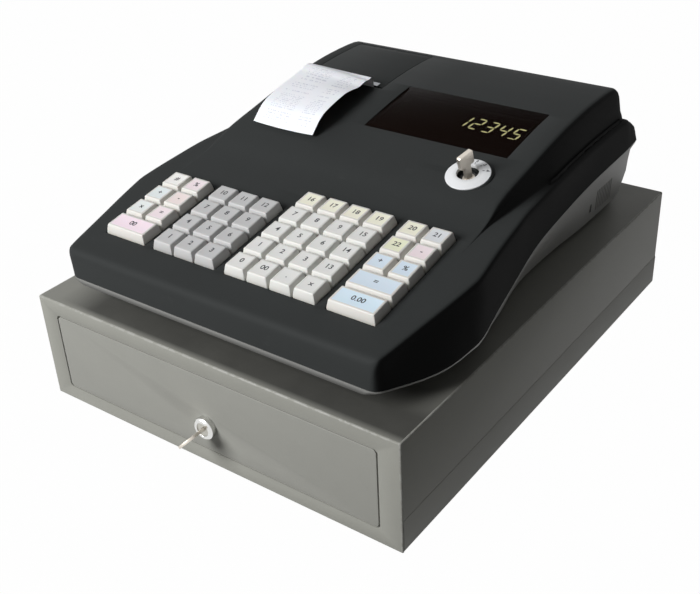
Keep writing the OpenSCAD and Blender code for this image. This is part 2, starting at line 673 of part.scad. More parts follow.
// Register unit: base and cover
boss_d = 9;
screw_in = 6.6;
screw_places = [[half_w - 49.7, 15], [hump_w / 2 - screw_in, unit_l - 52]];
head_d = 6;
// The base and its posts meet the cover's posts at this height above the local floor
function post_z(p) = side_z(p[1]) - 1.6;
louvre_u = unit_l - 58;
louvre_z = case_top + 9;
louvre_h = 17;
gland_x = half_w - 53.7;
gland_z = case_top + 25.5;
gland_d = 11;
module base_shell() {
  st = stations;
  shell([for (u = st) mirror_half(base_half(u, 0))],
    [for (u = st) mirror_half(base_half(inset_station(u, wall), wall))],
    [for (u = st) nose_y + u], [for (u = st) nose_y + inset_station(u, wall)], true);
}
module base_pan() {
  color("darkgray") difference() {
    union() {
      base_shell();
      both_sides() for (p = screw_places)
        translate([p[0], nose_y + p[1], floor_z(p[1]) + 1])
          cylinder(h = post_z(p) - floor_z(p[1]) - 1, d = boss_d);
    }
    both_sides() for (p = screw_places) {
      translate([p[0], nose_y + p[1], floor_z(p[1]) - 1]) cylinder(h = 60, d = screw_d + 0.6);
      translate([p[0], nose_y + p[1], floor_z(p[1]) - 1]) cylinder(h = 3, d = head_d + 1);
    }
    both_sides() for (i = [0:louvre_count - 1])
      translate([half_w - 40, nose_y + louvre_u + (i - (louvre_count - 1) / 2) * louvre_pitch - 0.6,
        louvre_z])
        cube([40, 1.2, louvre_h]);
    translate([half_w - 40, nose_y + louvre_u - 24, louvre_z + 2]) cube([40, 3, 7]);
    translate([gland_x, nose_y + unit_l + 1, gland_z]) rotate([90, 0, 0]) cylinder(h = 60, d = gland_d);
  }
}

kb_rows = [4, 4, 5, 5];
kb_cols = [2, 3, 4, 2];
key_cols = kb_cols[0] + kb_cols[1] + kb_cols[2] + kb_cols[3];
// The distance between neighbouring keys fills the deck between its margins
key_pitch = (unit_w - 2 * kb_margin + 4 * key_gap - 3 * block_gap) / key_cols;
row_pitch = ((deck_l - kb_front - kb_rear) / cos(deck_angle) + key_gap) / kb_rows[2];
function block_w(b) = kb_cols[b] * key_pitch - key_gap;
kb_w = block_w(0) + block_w(1) + block_w(2) + block_w(3) + 3 * block_gap;
function block_x(b) = b == 0 ? kb_shift - kb_w / 2 : block_x(b - 1) + block_w(b - 1) + block_gap;
module block_openings(grow, z0, z1) {
  for (b = [0:3]) translate([block_x(b) - grow, -grow, z0])
    cube([block_w(b) + 2 * grow, kb_rows[b] * row_pitch - key_gap + 2 * grow, z1 - z0]);
}
// Clearance round the ring of the mode lock in its seat
seat_gap = 0.3;
lid_u0 = slot_u + slot_w / 2;
// The lid turns on a knuckle along its rear edge, just under the surface
knuckle_r = 2.6;
hinge_u = hump_top_u + 18.4;
hinge_y = nose_y + hinge_u;
hinge_z = top_z(hinge_u) - knuckle_r - 0.1;
pivot_d = 3.4;
pivot_l = 4;
module lid_opening() {
  x = lid_w / 2 + lid_gap;
  translate([printer_x - x, nose_y + slot_u - slot_w / 2, hinge_z - 12])
    cube([2 * x, hinge_u + knuckle_r + lid_gap - slot_u + slot_w / 2, 30]);
}
module cover_shell() {
  shell([for (u = stations) mirror_half(cover_half(u, 0))],
    [for (u = stations) mirror_half(cover_half(inset_station(u, wall), wall))],
    [for (u = stations) nose_y + u], [for (u = stations) nose_y + inset_station(u, wall)], false);
}
module top_cover() {
  color([0.13, 0.135, 0.135]) difference() {
    union() {
      cover_shell();
      on_mode() translate([0, 0, -5]) cylinder(h = 5, d = mode_plate_d + 2);
      both_sides() for (p = screw_places)
        translate([p[0], nose_y + p[1], post_z(p) + 0.1])
          cylinder(h = top_z(p[1]) - wall - post_z(p) + 0.7, d = boss_d);
      for (s = [-1, 1])
        translate([printer_x + s * (lid_w / 2 + lid_gap + 2.5) - 2.5, hinge_y - 6, hinge_z - 5])
          cube([5, 9, 6]);
    }
    on_deck() block_openings(key_clear, -wall - 6, 6);
    on_window() translate([-window_w / 2 - 0.3, -0.3, -12]) cube([window_w + 0.6, window_l + 0.6, 20]);
    on_mode() translate([0, 0, -10]) cylinder(h = 20, d = mode_barrel_d + 2 * run_gap);
    on_mode() cylinder(h = 8, d = mode_plate_d + 2 * seat_gap);
    lid_opening();
    x_rod(printer_x - lid_w / 2 - pivot_l - 0.3, printer_x + lid_w / 2 + pivot_l + 0.3,
      hinge_y, hinge_z, pivot_d + 2 * run_gap);
    both_sides() for (p = screw_places)
      translate([p[0], nose_y + p[1], post_z(p) - 1]) cylinder(h = 12, d = screw_d + 2 * run_gap);
  }
}
module case_screws() {
  color("silver") both_sides() for (p = screw_places) {
    translate([p[0], nose_y + p[1], floor_z(p[1])]) {
      cylinder(h = 2, d = head_d);
      cylinder(h = post_z(p) + 9 - floor_z(p[1]), d = screw_d);
    }
  }
}
gland_l = 12;
module cord_gland() {
  y1 = nose_y + unit_l - 9.5;
  color("black") difference() {
    translate([gland_x, y1 + 2.4, gland_z]) rotate([90, 0, 0]) union() {
      cylinder(h = 2, d = gland_d + 3);
      cylinder(h = gland_l, d = gland_d - 0.1);
    }
    translate([gland_x, y1 + 20, gland_z]) rotate([90, 0, 0]) cylinder(h = 60, d = cord_bore_d);
  }
}

// Keys. Each cap is a block cut by four slopes, with a square stem under each of its places.
skirt_n = -1.2;
stem_n = -13;
plate_n = -8;
plate_t = 2;
board_n = -17.2;
board_t = 1.6;
module key_cap(cols) {
  w = cols * key_pitch - key_gap;
  d = row_pitch - key_gap;
  h = key_h - skirt_n;
  intersection() {
    translate([0, d, skirt_n]) rotate([90, 0, 0]) linear_extrude(d)
      polygon([[0, 0], [w, 0], [w, 1.6], [w - key_taper, h], [key_taper, h], [0, 1.6]]);
    translate([0, 0, skirt_n]) rotate([90, 0, 90]) linear_extrude(w)
      polygon([[0, 0], [d, 0], [d, 1.6], [d - key_taper / 2, h], [key_taper * 1.3, h], [0, 1.6]]);
  }
  for (c = [0:cols - 1])
    translate([(c + 0.5) * key_pitch - key_gap / 2 - stem_w / 2, (d - stem_w) / 2, stem_n])
      cube([stem_w, stem_w, skirt_n - stem_n + eps]);
}
module key(b, col, row, cols = 1) {
  on_deck() translate([block_x(b) + col * key_pitch, row * row_pitch, 0]) key_cap(cols);
}
// Guide plate and contact board hang under the deck on pillars at their corners
plate_m = 8;
deck_under = (wall + wall * deck_rise) * cos(deck_angle);
pillar_x = [block_x(0) - plate_m / 2, block_x(0) + kb_w + plate_m / 2];
pillar_y = [0, 4.5 * row_pitch];
module under_keys(n, t) {
  translate([block_x(0) - plate_m, -4, n - t]) cube([kb_w + 2 * plate_m, 5 * row_pitch + 6, t]);
}
module keyboard_plate() {
  color("dimgray") on_deck() difference() {
    union() {
      under_keys(plate_n, plate_t);
      for (x = pillar_x, y = pillar_y)
        translate([x, y, plate_n - eps]) cylinder(h = -deck_under - 0.1 - plate_n, d = 6);
    }
    for (b = [0:3]) for (c = [0:kb_cols[b] - 1]) for (r = [0:kb_rows[b] - 1])
      translate([block_x(b) + (c + 0.5) * key_pitch - key_gap / 2 - stem_w / 2 - stem_gap,
        (r + 0.5) * row_pitch - key_gap / 2 - stem_w / 2 - stem_gap, plate_n - plate_t - 1])
        cube([stem_w + 2 * stem_gap, stem_w + 2 * stem_gap, plate_t + 2]);
  }
}
module key_board() {
  color("darkgreen") on_deck() under_keys(board_n, board_t);
  color("gray") on_deck() for (x = pillar_x, y = pillar_y)
    translate([x, y, board_n - eps]) cylinder(h = plate_n - plate_t - 0.05 - board_n, d = 5);
}

// Electronics, on the floor of the base
inner_z = case_top + pad_h + wall;
board_x = 0.26 * half_w;
board_y = nose_y + 0.554 * unit_l;
standoff_h = 6;
standoff_in = 6;
module main_board() {
  x0 = board_x - board_w / 2;
  y0 = board_y - board_l / 2;
  z1 = inner_z + standoff_h;
  color("darkgreen") translate([x0, y0, z1]) cube([board_w, board_l, board_t]);
  color("black") {
    translate([x0 + 0.19 * board_w, y0 + 0.29 * board_l, z1 + board_t - eps])
      cube([0.27 * board_w, 0.23 * board_l, 4]);
    translate([x0 + 0.63 * board_w, y0 + 0.23 * board_l, z1 + board_t - eps])
      cube([0.11 * board_w, 0.23 * board_l, 3]);
  }
  color("gray") for (x = [x0 + standoff_in, x0 + board_w - standoff_in],
    y = [y0 + standoff_in, y0 + board_l - standoff_in])
    translate([x, y, inner_z]) cylinder(h = standoff_h + 0.2, d = 6);
}
core_x = 0.462 * half_w;
core_y = nose_y + 0.772 * unit_l;
coil_l = 8;
coil_in = 6;
module transformer() {
  color("silver") translate([core_x - core_w / 2, core_y - core_l / 2, inner_z])
    cube([core_w, core_l, core_h]);
  color("goldenrod")
    translate([core_x - core_w / 2 + coil_in, core_y - core_l / 2 - coil_l, inner_z + coil_in])
    cube([core_w - 2 * coil_in, core_l + 2 * coil_l, core_h - 2 * coil_in]);
}

// Receipt printer
frame_x = lid_w / 2 - 2.7;
frame_t = 2.5;
frame_z = inner_z;
frame_front = 11;
frame_rear = 14;
platen_u = slot_u - 1.6 - platen_d / 2;
platen_y = nose_y + platen_u;
platen_z = top_z(slot_u) - wall - platen_d / 2 - 4;
roll_back = 42;
roll_y = nose_y + slot_u + roll_back;
roll_z = frame_z + roll_d / 2 + 8;
spindle_d = 12;
module printer_frame() {
  color("gray") difference() {
    union() {
      for (s = [-1, 1]) side_plate(printer_x + s * (frame_x + frame_t / 2) - frame_t / 2, frame_t)
        polygon([[platen_y - frame_front, frame_z], [roll_y + frame_rear, frame_z],
          [roll_y + frame_rear, roll_z + 8], [platen_y + 28, roll_z + 8], [platen_y + 17, platen_z + 6],
          [platen_y - frame_front, platen_z + 6]]);
      translate([printer_x - frame_x - eps, platen_y - frame_front, frame_z])
        cube([2 * frame_x + 2 * eps, roll_y + frame_rear + frame_front - platen_y, 2]);
      x_rod(printer_x - frame_x - eps, printer_x + frame_x + eps, roll_y, roll_z, spindle_d);
    }
    x_rod(printer_x - lid_w, printer_x + lid_w, platen_y, platen_z, axle_d + 2 * run_gap);
  }
}
module platen_roller() {
  color([0.12, 0.12, 0.12]) x_rod(printer_x - paper_w / 2 - 1, printer_x + paper_w / 2 + 1,
    platen_y, platen_z, platen_d);
  color("silver") x_rod(printer_x - frame_x - frame_t - 1, printer_x + frame_x + frame_t + 6,
    platen_y, platen_z, axle_d);
}
module print_head() {
  color("darkgray") translate([printer_x - paper_w / 2, platen_y + platen_d / 2 + 1.2, platen_z - 7])
    cube([paper_w, 3, 12]);
  color("gray") translate([printer_x - frame_x, platen_y + platen_d / 2 + 4.2 - eps, platen_z - 6])
    cube([2 * frame_x, 2, 8]);
}
motor_d = platen_d + 2;
motor_l = 10;
module feed_motor() {
  x0 = printer_x + frame_x + frame_t;
  color("silver") difference() {
    x_rod(x0, x0 + motor_l, platen_y, platen_z, motor_d);
    x_rod(x0 - 1, x0 + 8, platen_y, platen_z, axle_d + 2 * run_gap);
  }
}
module paper_roll() {
  color("white") difference() {
    x_rod(printer_x - paper_w / 2, printer_x + paper_w / 2, roll_y, roll_z, roll_d);
    x_rod(printer_x - paper_w, printer_x + paper_w, roll_y, roll_z, spindle_d + 2 * run_gap);
  }
}
// The strip's middle line in Y and Z: off the roll, up behind the platen and out of the slot,
// then over a crest and down to its curled end
feed_y = platen_y + platen_d / 2 + 0.35;
paper_in = [[roll_y - 3.3, roll_z + roll_d / 2 + 0.5], [platen_y + 17, platen_z - platen_d / 2 - 4.4],
  [platen_y + 11.3, platen_z - platen_d / 2 - 3.8], [platen_y + 8.5, platen_z - platen_d / 2 - 2.5],
  [feed_y, platen_z - platen_d / 2 + 0.1], [feed_y, top_z(slot_u) - 2], [feed_y, top_z(slot_u) + 1]];
paper_out = [[-1.9, 5.5], [-4.6, 10], [-10.3, 12.3], [-16, 11.6], [-21.3, 10], [-34.3, 7.4],
  [-44, 5.8], [-53.3, 3.9], [-60, 2.2], [-66.3, 0.2], [-72.3, -3.1], [-78.3, -8.1], [-82.3, -11.8]];
paper_path = concat(paper_in, [for (q = paper_out) [nose_y + slot_u + q[0], top_z(slot_u) + q[1]]]);
function paper_side(k, s) = [for (i = [0:len(k) - 1]) let (
  a = k[max(i - 1, 0)], b = k[min(i + 1, len(k) - 1)], d = (b - a) / norm(b - a))
  k[i] + s * paper_t / 2 * [-d[1], d[0]]];
module receipt_paper() {
  near = paper_side(paper_path, 1);
  far = paper_side(paper_path, -1);
  color("white") side_plate(printer_x - paper_w / 2, paper_w)
    polygon(concat(near, [for (i = [len(far) - 1:-1:0]) far[i]]));
}
lid_steps = 14;
module printer_cover() {
  us = [for (i = [0:lid_steps]) lid_u0 + (hinge_u - lid_u0) * i / lid_steps];
  color([0.13, 0.135, 0.135]) {
    side_plate(printer_x - lid_w / 2, lid_w)
      polygon(concat([for (u = us) [nose_y + u, top_z(u)]],
        [for (i = [lid_steps:-1:0]) [nose_y + us[i], top_z(us[i]) - wall]]));
    x_rod(printer_x - lid_w / 2, printer_x + lid_w / 2, hinge_y, hinge_z, 2 * knuckle_r);
    x_rod(printer_x - lid_w / 2 - pivot_l, printer_x + lid_w / 2 + pivot_l, hinge_y, hinge_z, pivot_d);
  }
}

// Display and mode lock
module display_window() {
  color([0.12, 0.07, 0.05]) on_window() translate([-window_w / 2, 0, -window_t])
    cube([window_w, window_l, window_t]);
}
// The board hangs on four pillars beside the window and carries the display tube under the glass
tube_l = 30;
tube_y = 28;
module display_board() {
  x = window_w / 2 + 5;
  on_window() {
    color("darkgreen") translate([-x - 4, 4, -14]) cube([2 * x + 8, window_l - 8, 1.6]);
    color("darkslategray") translate([-window_w / 2 + 6, tube_y, -12.4 - eps])
      cube([window_w - 12, tube_l, 7]);
    color("gray") for (s = [-x, x], y = [9, window_l - 9])
      translate([s, y, -12.4 - eps]) cylinder(h = 8.8, d = 5);
  }
}
ring_t = 1;
ring_rise = 1.6;
module mode_plate() {
  color("white") on_mode() difference() {
    union() {
      cylinder(h = ring_t, d = mode_plate_d);
      translate([0, 0, ring_t]) cylinder(h = ring_rise, d1 = mode_plate_d, d2 = mode_barrel_d + 3);
    }
    translate([0, 0, -1]) cylinder(h = 6, d = mode_barrel_d + 2 * run_gap);
  }
}
mode_plug_d = 9;
mode_l = 16;
mode_face = -2.5;
module mode_lock() {
  color("black") on_mode() difference() {
    translate([0, 0, mode_face - mode_l]) cylinder(h = mode_l, d = mode_barrel_d);
    translate([0, 0, mode_face - mode_l - 1]) cylinder(h = mode_l + 2, d = mode_plug_d + 2 * run_gap);
  }
}
// Mode key in its plug: a thick bow with cut corners on a short neck, turned a little from the front
bow_w = 12.6;
bow_h = 10.2;
bow_t = 3.4;
bow_cut = 1.4;
neck_l = 10.8;
neck_w = 5.2;
mode_turn = -15;
module mode_key() {
  color("silver") on_mode() rotate([0, 0, mode_turn]) {
    translate([0, 0, mode_face - mode_l - 2]) cylinder(h = mode_l + 2.4, d = mode_plug_d);
    translate([-bow_t / 2, 0, mode_face]) rotate([90, 0, 90]) linear_extrude(bow_t) {
      translate([-neck_w / 2, 0]) square([neck_w, neck_l + eps]);
      translate([0, neck_l + bow_h / 2]) offset(delta = bow_cut, chamfer = true)
        square([bow_w - 2 * bow_cut, bow_h - 2 * bow_cut], center = true);
    }
  }
}

drawer_case();
drawer_pan();
rubber_feet();
slide_rails();
case_rollers();
drawer_front();
drawer_tray();
tray_rollers();
till_insert();
bill_clips();
drawer_lock();
lock_plug();
drawer_key();
latch_lever();
latch_solenoid();
solenoid_plunger();
ejector_spring();
base_pan();
top_cover();
case_screws();
keyboard_plate();
key_board();
main_board();
transformer();
printer_frame();
print_head();
platen_roller();
feed_motor();
paper_roll();
receipt_paper();
printer_cover();
display_window();
display_board();
mode_plate();
mode_lock();
mode_key();
cord_gland();
// Left block, from its rear row to the wide key in front
color("gainsboro") key(0, 0, 3);  // key_a1
color("pink") key(0, 1, 3);  // key_a2
color("lightcyan") key(0, 0, 2);  // key_a3
color("mistyrose") key(0, 1, 2);  // key_a4
color("honeydew") key(0, 0, 1);  // key_a5
color("pink") key(0, 1, 1);  // key_a6
color("thistle") key(0, 0, 0, 2);  // key_a7
// Grey block in three columns of four keys, number block in five rows of four keys
color("silver") for (r = [0:3]) key(1, 0, r);  // key_b1
color("silver") for (r = [0:3]) key(1, 1, r);  // key_b2
color("silver") for (r = [0:3]) key(1, 2, r);  // key_b3
color("gainsboro") for (c = [0:3]) key(2, c, 0);  // key_c1
color("gainsboro") for (c = [0:3]) key(2, c, 1);  // key_c2
color("gainsboro") for (c = [0:3]) key(2, c, 2);  // key_c3
color("gainsboro") for (c = [0:3]) key(2, c, 3);  // key_c4
color("lemonchiffon") for (c = [0:3]) key(2, c, 4);  // key_c5
// Right block, from its rear row to the two wide keys in front
color("lemonchiffon") key(3, 0, 4);  // key_d1
color("aliceblue") key(3, 1, 4);  // key_d2
color("palegoldenrod") key(3, 0, 3);  // key_d3
color("pink") key(3, 1, 3);  // key_d4
color("lavender") key(3, 0, 2);  // key_d5
color("lightblue") key(3, 1, 2);  // key_d6
color("lightblue") key(3, 0, 1, 2);  // key_d7
color("skyblue") key(3, 0, 0, 2);  // key_d8
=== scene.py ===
"""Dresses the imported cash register: paint, moulded covers, keys with figures, display, locks and paper."""

import json
from math import atan2, cos, pi, radians, sin, sqrt, tan

import bmesh
import bpy
from bpy.props import BoolProperty, FloatProperty, FloatVectorProperty, PointerProperty, StringProperty
from mathutils import Matrix, Vector

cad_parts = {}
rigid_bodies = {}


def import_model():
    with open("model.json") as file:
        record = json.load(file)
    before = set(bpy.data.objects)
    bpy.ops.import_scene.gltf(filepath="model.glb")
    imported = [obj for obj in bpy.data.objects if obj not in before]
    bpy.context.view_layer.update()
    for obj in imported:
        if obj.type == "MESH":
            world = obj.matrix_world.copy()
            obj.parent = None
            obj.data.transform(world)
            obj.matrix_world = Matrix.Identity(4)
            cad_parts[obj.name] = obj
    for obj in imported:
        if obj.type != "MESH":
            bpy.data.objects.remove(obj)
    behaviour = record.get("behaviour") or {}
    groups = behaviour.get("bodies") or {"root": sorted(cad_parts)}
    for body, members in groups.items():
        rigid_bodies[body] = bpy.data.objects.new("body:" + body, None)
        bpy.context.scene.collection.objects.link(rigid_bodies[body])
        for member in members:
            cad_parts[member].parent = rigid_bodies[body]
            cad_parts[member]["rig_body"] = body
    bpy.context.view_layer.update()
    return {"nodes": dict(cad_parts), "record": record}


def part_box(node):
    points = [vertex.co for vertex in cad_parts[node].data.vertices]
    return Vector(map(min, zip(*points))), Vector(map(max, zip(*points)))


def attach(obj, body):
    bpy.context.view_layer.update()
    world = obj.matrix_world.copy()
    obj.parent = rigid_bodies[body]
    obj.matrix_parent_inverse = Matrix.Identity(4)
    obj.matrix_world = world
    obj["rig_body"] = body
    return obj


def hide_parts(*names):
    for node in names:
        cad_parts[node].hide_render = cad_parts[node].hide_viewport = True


bl_info = {
    "name": "Cash Register Dressing",
    "version": (1, 0, 0),
    "blender": (4, 5, 0),
    "location": "View3D > Sidebar > Register",
    "description": "Builds the visible pieces and finishes of a cash register on its packed frame",
    "category": "Object",
}

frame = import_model()

SLOT = {part["node"]: part["material_slot"] for part in frame["record"]["subparts"]}
BODY = {name: node["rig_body"] for name, node in frame["nodes"].items()}

MM = 0.001
CASE_LOW, CASE_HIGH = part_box("drawer_case")
COVER_LOW, COVER_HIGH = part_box("top_cover")
WINDOW_LOW, WINDOW_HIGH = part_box("display_window")
LID_LOW, LID_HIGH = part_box("printer_cover")
LID_X = (LID_LOW.x + LID_HIGH.x) / 2
BASE_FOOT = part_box("base_pan")[0].z

# Sizes of the register unit in millimetres, as in its source. A name in U is a distance from its nose
CASE_TOP = CASE_HIGH.z / MM
NOSE_Y = COVER_LOW.y / MM
UNIT_L = (COVER_HIGH.y - COVER_LOW.y) / MM
HALF_W = COVER_HIGH.x / MM
DECK_ANGLE = radians(9.38)
DECK_H = 39
DECK_L = UNIT_L - 233.1
SKIRT_H = 17.3
HUMP_H = 93.3
HUMP_TOP_U = UNIT_L - 55.4
HUMP_HALF = HALF_W - 30.8
CORNER_R = 5
EDGE_R = 4.0
KEYBOARD_U = 26.9
WINDOW_U = UNIT_L - 161.6
WINDOW_L = 63.6
MODE_U = UNIT_L - 190.6
MODE_X = HALF_W - 66.1
SLOT_U = UNIT_L - 109.4
SLOT_HALF = 1.6

# Its outline: skirt, deck and rise over the share of its length, and the fall behind the hump's top
SKIRT_INSET = [(0, 24), (0.03, 17.5), (0.07, 9.4), (0.1, 4.8), (0.14, 1.4), (0.19, 0.2), (0.218, 0),
               (0.294, 4.3), (0.367, 9), (0.5, 15.7), (0.635, 19.4), (0.764, 20.4), (0.94, 21.3), (1, 22.7)]
DECK_INSET = [(0, 22.5), (0.032, 19.8), (0.066, 17.6), (0.113, 14.6), (0.18, 10.2), (0.23, 7.4),
              (0.245, 6.8), (0.262, 7), (0.338, 10.2), (0.41, 12.8), (0.467, 15.4), (0.586, 18.4),
              (0.717, 21.4), (0.82, 23.2), (1, 24.4)]
SKIRT_RISE = [(0, 0), (0.229, 0), (0.293, 3.9), (0.367, 6.6), (0.502, 14.3), (0.634, 17.6), (0.764, 21.8),
              (0.942, 23.6), (1, 24.1)]
SHOULDER_DROP = [(0.3, 0), (0.338, 0.3), (0.412, 1.6), (0.489, 4.7), (0.617, 11.3), (0.734, 17.9),
                 (0.873, 26.9), (1, 35.5)]
HUMP_SHAPE = [(0, 0), (0.06, 0.10), (0.13, 0.275), (0.21, 0.405), (0.36, 0.565), (0.52, 0.735), (0.7, 0.89),
              (0.88, 0.98), (1, 1)]
REAR_FALL = [(0, 0), (12, 0.1), (22, 0.6), (27, 1.5), (30, 3.6), (32, 6.4), (40.7, 30.2), (43, 32.5),
             (46.4, 33.8), (53, 38.6), (55.4, 43.5)]


def tone(red, green, blue):
    """Linear colour of a paint that reads as this 8-bit screen colour."""
    parts = [c / 255 for c in (red, green, blue)]
    return tuple(c / 12.92 if c <= 0.04045 else ((c + 0.055) / 1.055) ** 2.4 for c in parts)


def scaled(colour, share):
    return [c * share for c in colour]


def eased(value):
    """A value kept between 0 and 1, with a soft start and end."""
    value = min(max(value, 0), 1)
    return value * value * (3 - 2 * value)


def colour_prop(name, text, red, green, blue):
    """A colour that a user can change, given as it reads on screen."""
    return FloatVectorProperty(
        name=name, description=text, subtype="COLOR", size=3, min=0, max=1, default=tone(red, green, blue)
    )


def number_prop(name, text, value, **more):
    """A number from 0 up that a user can change."""
    return FloatProperty(name=name, description=text, default=value, min=0, **more)


def length_prop(name, text, millimetres):
    """A length in metres that a user can change."""
    return number_prop(name, text, millimetres * MM, unit="LENGTH", precision=5)


class CabinetLook(bpy.types.PropertyGroup):
    """Sizes and colours of the steel drawer cabinet."""

    paint: colour_prop("Paint", "Colour of the cabinet's silver paint", 150, 150, 143)
    panel: colour_prop("Panel paint", "Colour of the drawer panel", 148, 148, 142)
    fold: length_prop("Fold radius", "Outer radius of the folded sheet's edges", 1.2)
    rim: length_prop("Rim radius", "Radius of the panel's pressed rim", 0.9)


class HousingLook(bpy.types.PropertyGroup):
    """Sizes and colours of the moulded register unit."""

    cover: colour_prop("Cover", "Colour of the upper cover", 53, 55, 55)
    base: colour_prop("Base", "Colour of the lower cover", 138, 138, 135)
    wall: length_prop("Wall", "Wall of the upper cover", 2.5)
    rim: length_prop("Opening rim", "Radius of the rims of the cover's openings", 0.4)


class KeyboardLook(bpy.types.PropertyGroup):
    """Sizes and colours of the keys."""

    edge: length_prop("Cap edge", "Edge radius of the key caps", 0.8)
    dish: length_prop("Cap dish", "Depth of the hollow in each cap's top", 0.4)
    legend: length_prop("Legend height", "Height of the figures on the keys", 4.3)
    ink: colour_prop("Ink", "Colour of the printed figures", 40, 42, 48)
    shade: number_prop("Key shade", "Lightness of all the key caps", 1, max=1.2)


class DisplayLook(bpy.types.PropertyGroup):
    """The display's figures and window."""

    figures: StringProperty(name="Figures", description="Figures that the display shows", default="12345")
    glow: colour_prop("Glow", "Colour of the lit figures", 222, 217, 158)
    tint: colour_prop("Window tint", "Colour of the smoked window", 20, 12, 9)
    height: length_prop("Figure height", "Height of the lit figures", 14.4)
    pitch: length_prop("Figure pitch", "Distance between the lit figures", 11.3)


class StudioLook(bpy.types.PropertyGroup):
    """Floor, lamps and camera."""

    key: number_prop("Key lamp", "Power of the lamp in front", 64, subtype="POWER")
    fill: number_prop("Fill lamp", "Power of the lamp above", 1.5, subtype="POWER")
    sky: number_prop("Surroundings", "Strength of the light from all around", 0.08)
    white_back: BoolProperty(name="White back", description="Show white all around the object", default=True)


def math_node(kind, swapped=False):
    """A method of Signal that adds one Math node."""

    def method(self, other=0):
        values = (other, self) if swapped else (self, other)
        return self.finish.node("ShaderNodeMath", {"operation": kind}, dict(enumerate(values)))

    return method


class Signal:
    """An output of a shader node. Arithmetic on it adds Math nodes to its material."""

    def __init__(self, finish, socket):
        self.finish = finish
        self.socket = socket

    __add__ = __radd__ = math_node("ADD")
    __mul__ = __rmul__ = math_node("MULTIPLY")
    __sub__ = math_node("SUBTRACT")
    __rsub__ = math_node("SUBTRACT", swapped=True)
    __truediv__ = math_node("DIVIDE")
    __pow__ = math_node("POWER")
    __gt__ = math_node("GREATER_THAN")
    __lt__ = math_node("LESS_THAN")
    or_else = math_node("MAXIMUM")
    size = math_node("ABSOLUTE")
    part = math_node("FRACT")
    whole = math_node("FLOOR")


class Finish:
    """The shader nodes of a material, or of the world."""

    def __init__(self, name, owner=None):
        self.owner = owner or bpy.data.materials.new(name)
        self.owner.use_nodes = True
        self.tree = self.owner.node_tree
        self.tree.nodes.clear()
        self.coordinates = self.node("ShaderNodeTexCoord", out="Object")

    def node(self, kind, settings=None, sockets=None, out=0):
        """One node: its settings first, then the values or links of its sockets."""
        made = self.tree.nodes.new(kind)
        for name, value in (settings or {}).items():
            if name == "stops":
                self.set_stops(made.color_ramp, value)
            else:
                setattr(made, name, value)
        for key, value in (sockets or {}).items():
            socket = made.inputs[key]
            if isinstance(value, Signal):
                self.tree.links.new(value.socket, socket)
            elif socket.type == "RGBA" and len(value) == 3:
                socket.default_value = (*value, 1)
            else:
                socket.default_value = value
        return Signal(self, made.outputs[out]) if made.outputs else None

    def set_stops(self, ramp, stops):
        """The ramp's stops as pairs of place and grey level."""
        while len(ramp.elements) > 1:
            ramp.elements.remove(ramp.elements[-1])
        for count, (place, level) in enumerate(stops):
            stop = ramp.elements[0] if count == 0 else ramp.elements.new(place)
            stop.position = place
            stop.color = (level, level, level, 1)

    def noise(self, scale, detail=2.0, rough=0.5, at=None, stretch=None):
        """Noise from 0 to 1, with about scale cells in a metre."""
        place = at or self.coordinates
        if stretch:
            place = self.node("ShaderNodeMapping", {}, {"Vector": place, "Scale": stretch})
        sockets = {"Vector": place, "Scale": scale, "Detail": detail, "Roughness": rough}
        return self.node("ShaderNodeTexNoise", {}, sockets, "Fac")

    def ramp(self, value, *stops):
        return self.node("ShaderNodeValToRGB", {"stops": stops}, {"Fac": value}, "Color")

    def mix(self, share, first, second):
        """A colour between two colours."""
        return self.node("ShaderNodeMix", {"data_type": "RGBA"}, {0: share, 6: first, 7: second}, 2)

    def level(self, value, low, high, start=0.0, end=1.0):
        """Runs from low to high while the value runs from start to end."""
        sockets = {"Value": value, "From Min": start, "From Max": end, "To Min": low, "To Max": high}
        return self.node("ShaderNodeMapRange", {}, sockets)

    def axes(self, at=None):
        """The three coordinates of a place, in metres."""
        split = self.tree.nodes.new("ShaderNodeSeparateXYZ")
        self.tree.links.new((at or self.coordinates).socket, split.inputs[0])
        return [Signal(self, output) for output in split.outputs]

    def relief(self, height, depth, strength=1.0):
        """A normal from a height between 0 and 1, depth metres deep."""
        return self.node("ShaderNodeBump", {}, {"Height": height, "Distance": depth, "Strength": strength})

    def surface(self, **sockets):
        """The one shader that a finish ends in. Underscores in names stand for spaces."""
        named = {name.replace("_", " "): value for name, value in sockets.items()}
        shader = self.node("ShaderNodeBsdfPrincipled", {}, named)
        self.node("ShaderNodeOutputMaterial", {}, {"Surface": shader})
        return self.owner

    def moulding(self, colour, spread, grain, dark):
        """Drift of shade, etched grain and rare scuffs of a moulding, and its colour with the first two."""
        drift, etched = self.noise(21, 3, 0.6), self.noise(grain, 2, 0.6)
        scuffs = self.ramp(self.noise(55, 6, 0.75, stretch=(1, 3.5, 1)), (0.62, 0.0), (0.7, 1.0))
        tint = self.mix(drift, scaled(colour, 1 - spread), scaled(colour, 1 + spread))
        return drift, etched, scuffs, self.mix(self.level(etched, 0, 0.18), tint, scaled(colour, dark))


